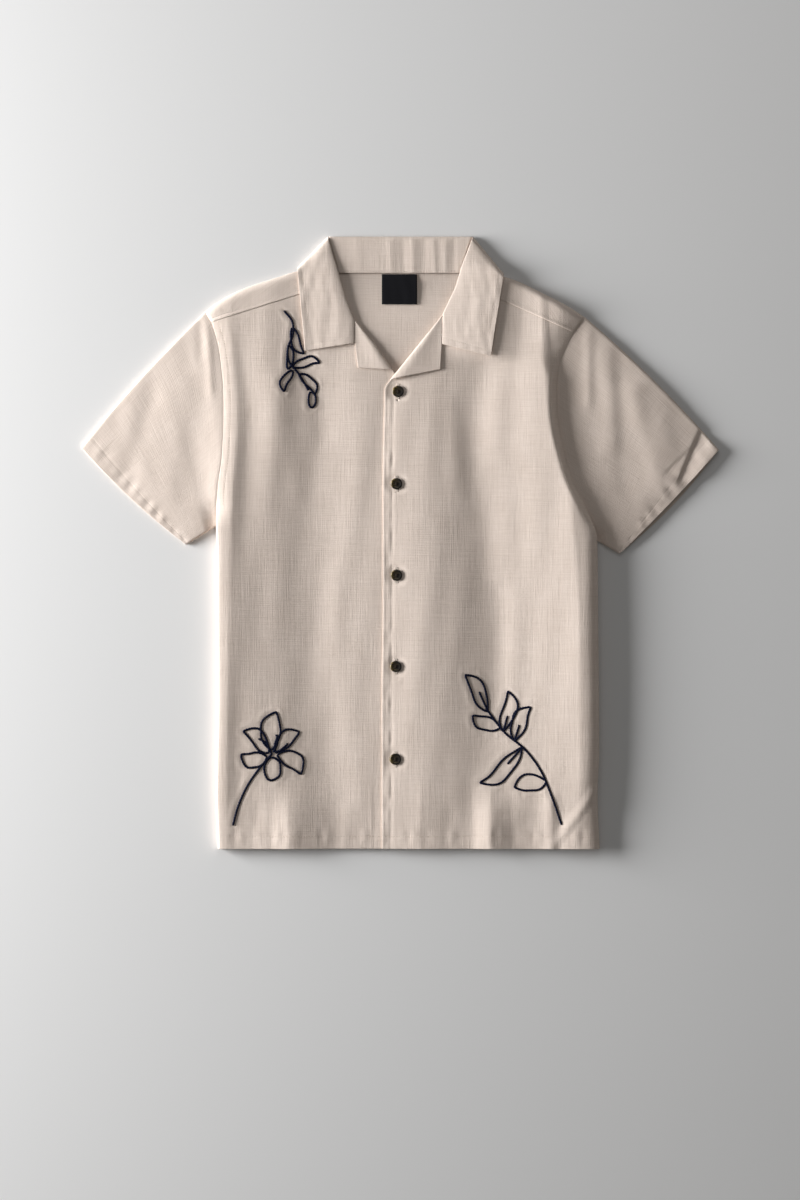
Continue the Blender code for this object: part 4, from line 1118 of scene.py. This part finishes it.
def cloth_under(x, level):
    """Highest place of the lap's cloth under a button."""
    turn = np.linspace(0.0, 2.0 * math.pi, 25)
    across, up = BUTTON_RADIUS * np.cos(turn), np.sin(turn)
    ring_x = np.concatenate([x + across, x + across / 2.0])
    ring_y = np.concatenate([level + BUTTON_RADIUS * up, level + up])
    return float(np.max(body_height("left", ring_x, ring_y)))


def make_button(number, y, horn, thread):
    """A dished four-hole button, sewn on with thread."""
    x = button_x(y)
    z = cloth_under(x, y) + 0.15
    section = (
        (0.0, BUTTON_DISH), (0.3, 0.65), (0.52, 0.68), (0.62, 0.78), (0.72, 0.96), (0.8, 1.0),
        (0.89, 0.98), (0.96, 0.84), (1.0, 0.58), (0.98, 0.34), (0.9, 0.14), (0.74, 0.02), (0.0, 0.0),
    )
    points = [(out * BUTTON_RADIUS * MM, 0.0, up * BUTTON_THICK * MM) for out, up in section]
    mesh = bpy.data.meshes.new("button_section")
    mesh.from_pydata(points, [(k, k + 1) for k in range(len(points) - 1)], [])
    mesh.materials.append(horn)
    button = linked("horn_button_%d" % number, mesh)
    button.location = (x * MM, y * MM, z * MM)
    button.rotation_euler = (0.0, 0.0, 0.12 * number - 0.5)
    turned = button.modifiers.new("turned", "SCREW")
    turned.steps = BUTTON_STEPS
    turned.render_steps = BUTTON_STEPS
    turned.use_merge_vertices = True
    turned.merge_threshold = 0.00001
    turned.use_smooth_shade = True
    declare(button, "button_%d" % number)
    tubes = []
    offset = BUTTON_HOLE_OFFSET * 0.72
    along = np.linspace(-1.0, 1.0, 9)
    arch = 0.25 + 0.25 * (1.0 - along ** 2) - 0.9 * ease(np.abs(along) * 4.0 - 3.0)
    for direction in (-1.0, 1.0):
        for strand in (-0.45, 0.0, 0.45):
            beside = np.full(9, y + direction * offset * 0.75 + strand)
            path = np.column_stack([x + along * offset, beside, z + BUTTON_DISH * BUTTON_THICK + arch])
            tubes.append(tube_along(path, 0.24, 6))
    joined_tubes("button_thread_%d" % number, tubes, thread)


def satin_stitch(x, y, lift):
    """One stitch over a buttonhole's edge, through five places."""
    places = np.column_stack(np.broadcast_arrays(x, y))
    arch = lift + 0.3 * np.sin(np.linspace(0.0, math.pi, 5))
    return tube_along(on_front("left", places, arch), SATIN_RADIUS, 5)


def make_buttonholes(thread):
    """Satin stitch round each buttonhole in the lap."""
    tubes = []
    beside = np.linspace(0.35, 1.7, 5)
    beyond = np.linspace(0.0, 1.6, 5) + BUTTONHOLE_HALF_LENGTH
    steps = np.arange(-BUTTONHOLE_HALF_LENGTH, BUTTONHOLE_HALF_LENGTH + 0.01, 0.55)
    sides = np.arange(-1.6, 1.61, 0.5)
    for level in BUTTON_LEVELS:
        x = button_x(level)
        for way in (-1.0, 1.0):
            tubes += [satin_stitch(x + way * beside, level + step, 0.05) for step in steps]
        for way in (-1.0, 1.0):
            tubes += [satin_stitch(x + across, level + way * beyond, 0.08) for across in sides]
    joined_tubes("buttonhole_stitch", tubes, thread)


def make_topstitching(thread):
    """Rows of sewing stitches: hems, armholes, shoulders, collar and neck."""
    tubes = []
    for side in SIDES:
        sign = SIGN[side]
        start = table_curve(OUTLINE[side], HEM + HEM_DEPTH)[0] - sign * 3.0
        end = table_curve(CENTRE[side], HEM)[0] + sign * (1.5 if side == "left" else -16.0)
        x = spaced(start, end, 2.0)
        hem = np.column_stack([x, np.full(len(x), HEM + HEM_DEPTH)])
        tubes += stitch_tubes(on_front(side, hem, 0.05), *STITCHES["hem"])
        y = spaced(SEAM_END[side], UNDERARM[side] + 25.0, 2.0)
        arm = edge_points(OUTLINE[side], y) - (sign * ARMHOLE_STITCH, 0.0)
        tubes += stitch_tubes(on_front(side, arm, 0.05), *STITCHES["armhole"])
        fold, seam = shoulder_strip(side, 60)
        reach = np.hypot(*(fold - seam).T)
        strip = seam + (fold - seam) * (SHOULDER_STITCH / reach)[:, None]
        tubes += stitch_tubes(on_front(side, strip[reach > 8.0][:-2], 0.0), *STITCHES["shoulder"])
        tubes += stitch_tubes(leaf_stitch_path(side) + (0.0, 0.0, 0.05), *STITCHES["collar"])
    x = spaced(-69.0, 67.0, 2.0)
    neck = np.column_stack([x, np.full(len(x), STAND_SEAM + 1.8), np.full(len(x), STAND_EDGE_TOP + 0.1)])
    tubes += stitch_tubes(neck, *STITCHES["neck"])
    joined_tubes("topstitching", tubes, thread)


def smooth_line(points, step):
    """Round curve through a few points, as even places."""
    points = np.asarray(points, dtype=float)
    run = run_along(points)
    at = np.linspace(0.0, run[-1], 400)
    span = np.clip(np.searchsorted(run, at, side="right") - 1, 0, len(run) - 2)
    width = (run[span + 1] - run[span])[:, None]
    t = (at - run[span])[:, None] / width
    slope = np.gradient(points, run, axis=0)
    return resample(hermite(t, width, points[span], points[span + 1], slope[span], slope[span + 1]), step)


def leaf_loop(leaf, step):
    """Closed outline of a leaf or petal on a bowed axis, and its vein if it has one."""
    base, tip = np.array(leaf.base), np.array(leaf.tip)
    length = np.hypot(*(tip - base))
    along = (tip - base) / length
    across = np.array([-along[1], along[0]])
    t = np.linspace(0.0, 1.0, 80)
    blunt = 0.5 + 0.24 * ease((length - 26.0) / 16.0)
    bend = leaf.bow * np.sin(math.pi * t) + leaf.curl * np.sin(2.0 * math.pi * t) * t
    axis = base + along * (t * length)[:, None] + across * bend[:, None]
    left = np.sin(math.pi * t ** 0.9) ** blunt * (1.0 + 0.07 * np.sin(3.0 * math.pi * t))
    right = np.sin(math.pi * t ** 1.15) ** blunt
    one = axis + across * (leaf.left * left)[:, None]
    other = axis - across * (leaf.right * right)[:, None]
    lines = [np.vstack([one, other[::-1][1:]])]
    if leaf.vein > 0.0:
        lines.append(axis[t <= leaf.vein])
    return [resample(line, step) for line in lines]


def chain_tube(side, places):
    """A raised line of chain stitch along places on a front."""
    beat = np.arange(len(places)) * (CHAIN_STEP / 4.0) / CHAIN_STEP * 2.0 * math.pi
    radii = CHAIN_RADIUS * (0.88 + 0.12 * np.cos(beat))
    radii[[0, -1]] *= 0.5
    return tube_along(on_front(side, places, CHAIN_LIFT), radii, 8, CHAIN_FLAT)


def sprig_lines(stems, leaves, step):
    """All stitched lines of one motif, as places on the cloth."""
    lines = [smooth_line(stem, step) for stem in stems]
    for leaf in leaves:
        lines += leaf_loop(leaf, step)
    return lines


def stitch_pull(side, x, y):
    """How far the embroidery draws the cloth down along its lines and lets it puff beside them."""
    pulled = np.zeros_like(x)
    for _, motif_side, stems, leaves in SPRIGS:
        if motif_side != side:
            continue
        line = np.vstack(sprig_lines(stems, leaves, 1.6))
        low, high = line.min(axis=0) - 16.0, line.max(axis=0) + 16.0
        near = (x > low[0]) & (x < high[0]) & (y > low[1]) & (y < high[1])
        inside_x, inside_y = x[near], y[near]
        away = np.full(len(inside_x), 99.0)
        for part in np.array_split(line, 24):
            gap = np.hypot(inside_x[:, None] - part[:, 0], inside_y[:, None] - part[:, 1])
            away = np.minimum(away, gap.min(axis=1))
        uneven = 0.65 + 0.35 * soft_waves(inside_x, inside_y, 7, 12.0, 1.0)
        pulled[near] = PULL_PUFF * hump(away - 5.5, 2.6) * uneven - PULL_DEPTH * hump(away, 1.8)
    return pulled


def make_embroidery(thread):
    """Navy line flowers and leaves on both fronts."""
    for name, side, stems, leaves in SPRIGS:
        lines = sprig_lines(stems, leaves, CHAIN_STEP / 4.0)
        joined_tubes(name, [chain_tube(side, line) for line in lines], thread)


# Floor, light and camera

def make_stage(material):
    """The pale surface that the shirt lies on."""
    size, level = 6000.0, -0.15
    corners = ((-size, -size, level), (size, -size, level), (size, size, level), (-size, size, level))
    floor = new_piece("floor", corners, [[0, 1, 2, 3]], material)


def area_light(name, place, size, power):
    """A soft rounded lamp at place, turned to the origin; sizes in metres, power in watts."""
    lamp = bpy.data.lights.new(name, "AREA")
    lamp.shape = "ELLIPSE"
    lamp.size, lamp.size_y = size
    lamp.energy = power
    holder = linked(name, lamp)
    holder.location = place
    holder.rotation_euler = (-Vector(place)).to_track_quat("-Z", "Y").to_euler()


def make_light():
    """Low wide soft key from the left and a little above, with a weak even fill."""
    area_light("key", (-2.8, 0.32, 0.64), (1.8, 1.25), 216.0)
    area_light("fill", (0.1, 1.7, 1.7), (1.6, 1.6), 4.5)
    world = bpy.data.worlds.new("room")
    world.use_nodes = True
    background = world.node_tree.nodes["Background"]
    background.inputs["Color"].default_value = (1.0, 0.975, 0.94, 1.0)
    background.inputs["Strength"].default_value = 0.125
    bpy.context.scene.world = world
    bpy.context.scene.view_settings.view_transform = "Standard"


def make_camera():
    """Camera straight above, framing 0.976 by 1.464 metres."""
    camera = bpy.data.cameras.new("camera")
    camera.sensor_fit = "VERTICAL"
    camera.sensor_height = 24.0
    camera.lens = camera.sensor_height * CAMERA_HEIGHT / PHOTO_HEIGHT
    camera.clip_end = 50.0
    holder = linked("camera", camera)
    holder.location = (*CAMERA_AIM, CAMERA_HEIGHT)
    bpy.context.scene.camera = holder


def main():
    """Build every visible piece."""
    cloth = cloth_material()
    thread = thread_material("cream sewing thread", (0.84, 0.75, 0.67), (0.68, 0.59, 0.51), 900.0)
    navy = thread_material(
        "navy embroidery thread", (0.006, 0.009, 0.030), (0.002, 0.003, 0.012), 700.0, 0.0
    )
    dark_thread = thread_material(
        "dark button thread", (0.05, 0.035, 0.025), (0.02, 0.014, 0.01), 900.0, 0.05
    )
    horn = button_material()
    for side in SIDES:
        make_front(side, cloth)
        make_sleeve(side, cloth)
        make_lapel(side, cloth)
    make_back(cloth)
    make_collar(cloth)
    make_label(label_material())
    for number, level in enumerate(BUTTON_LEVELS, start=1):
        make_button(number, level, horn, dark_thread)
    make_buttonholes(thread)
    make_topstitching(thread)
    make_embroidery(navy)
    make_stage(floor_material())
    make_light()
    make_camera()


main()
bpy.context.view_layer.update()
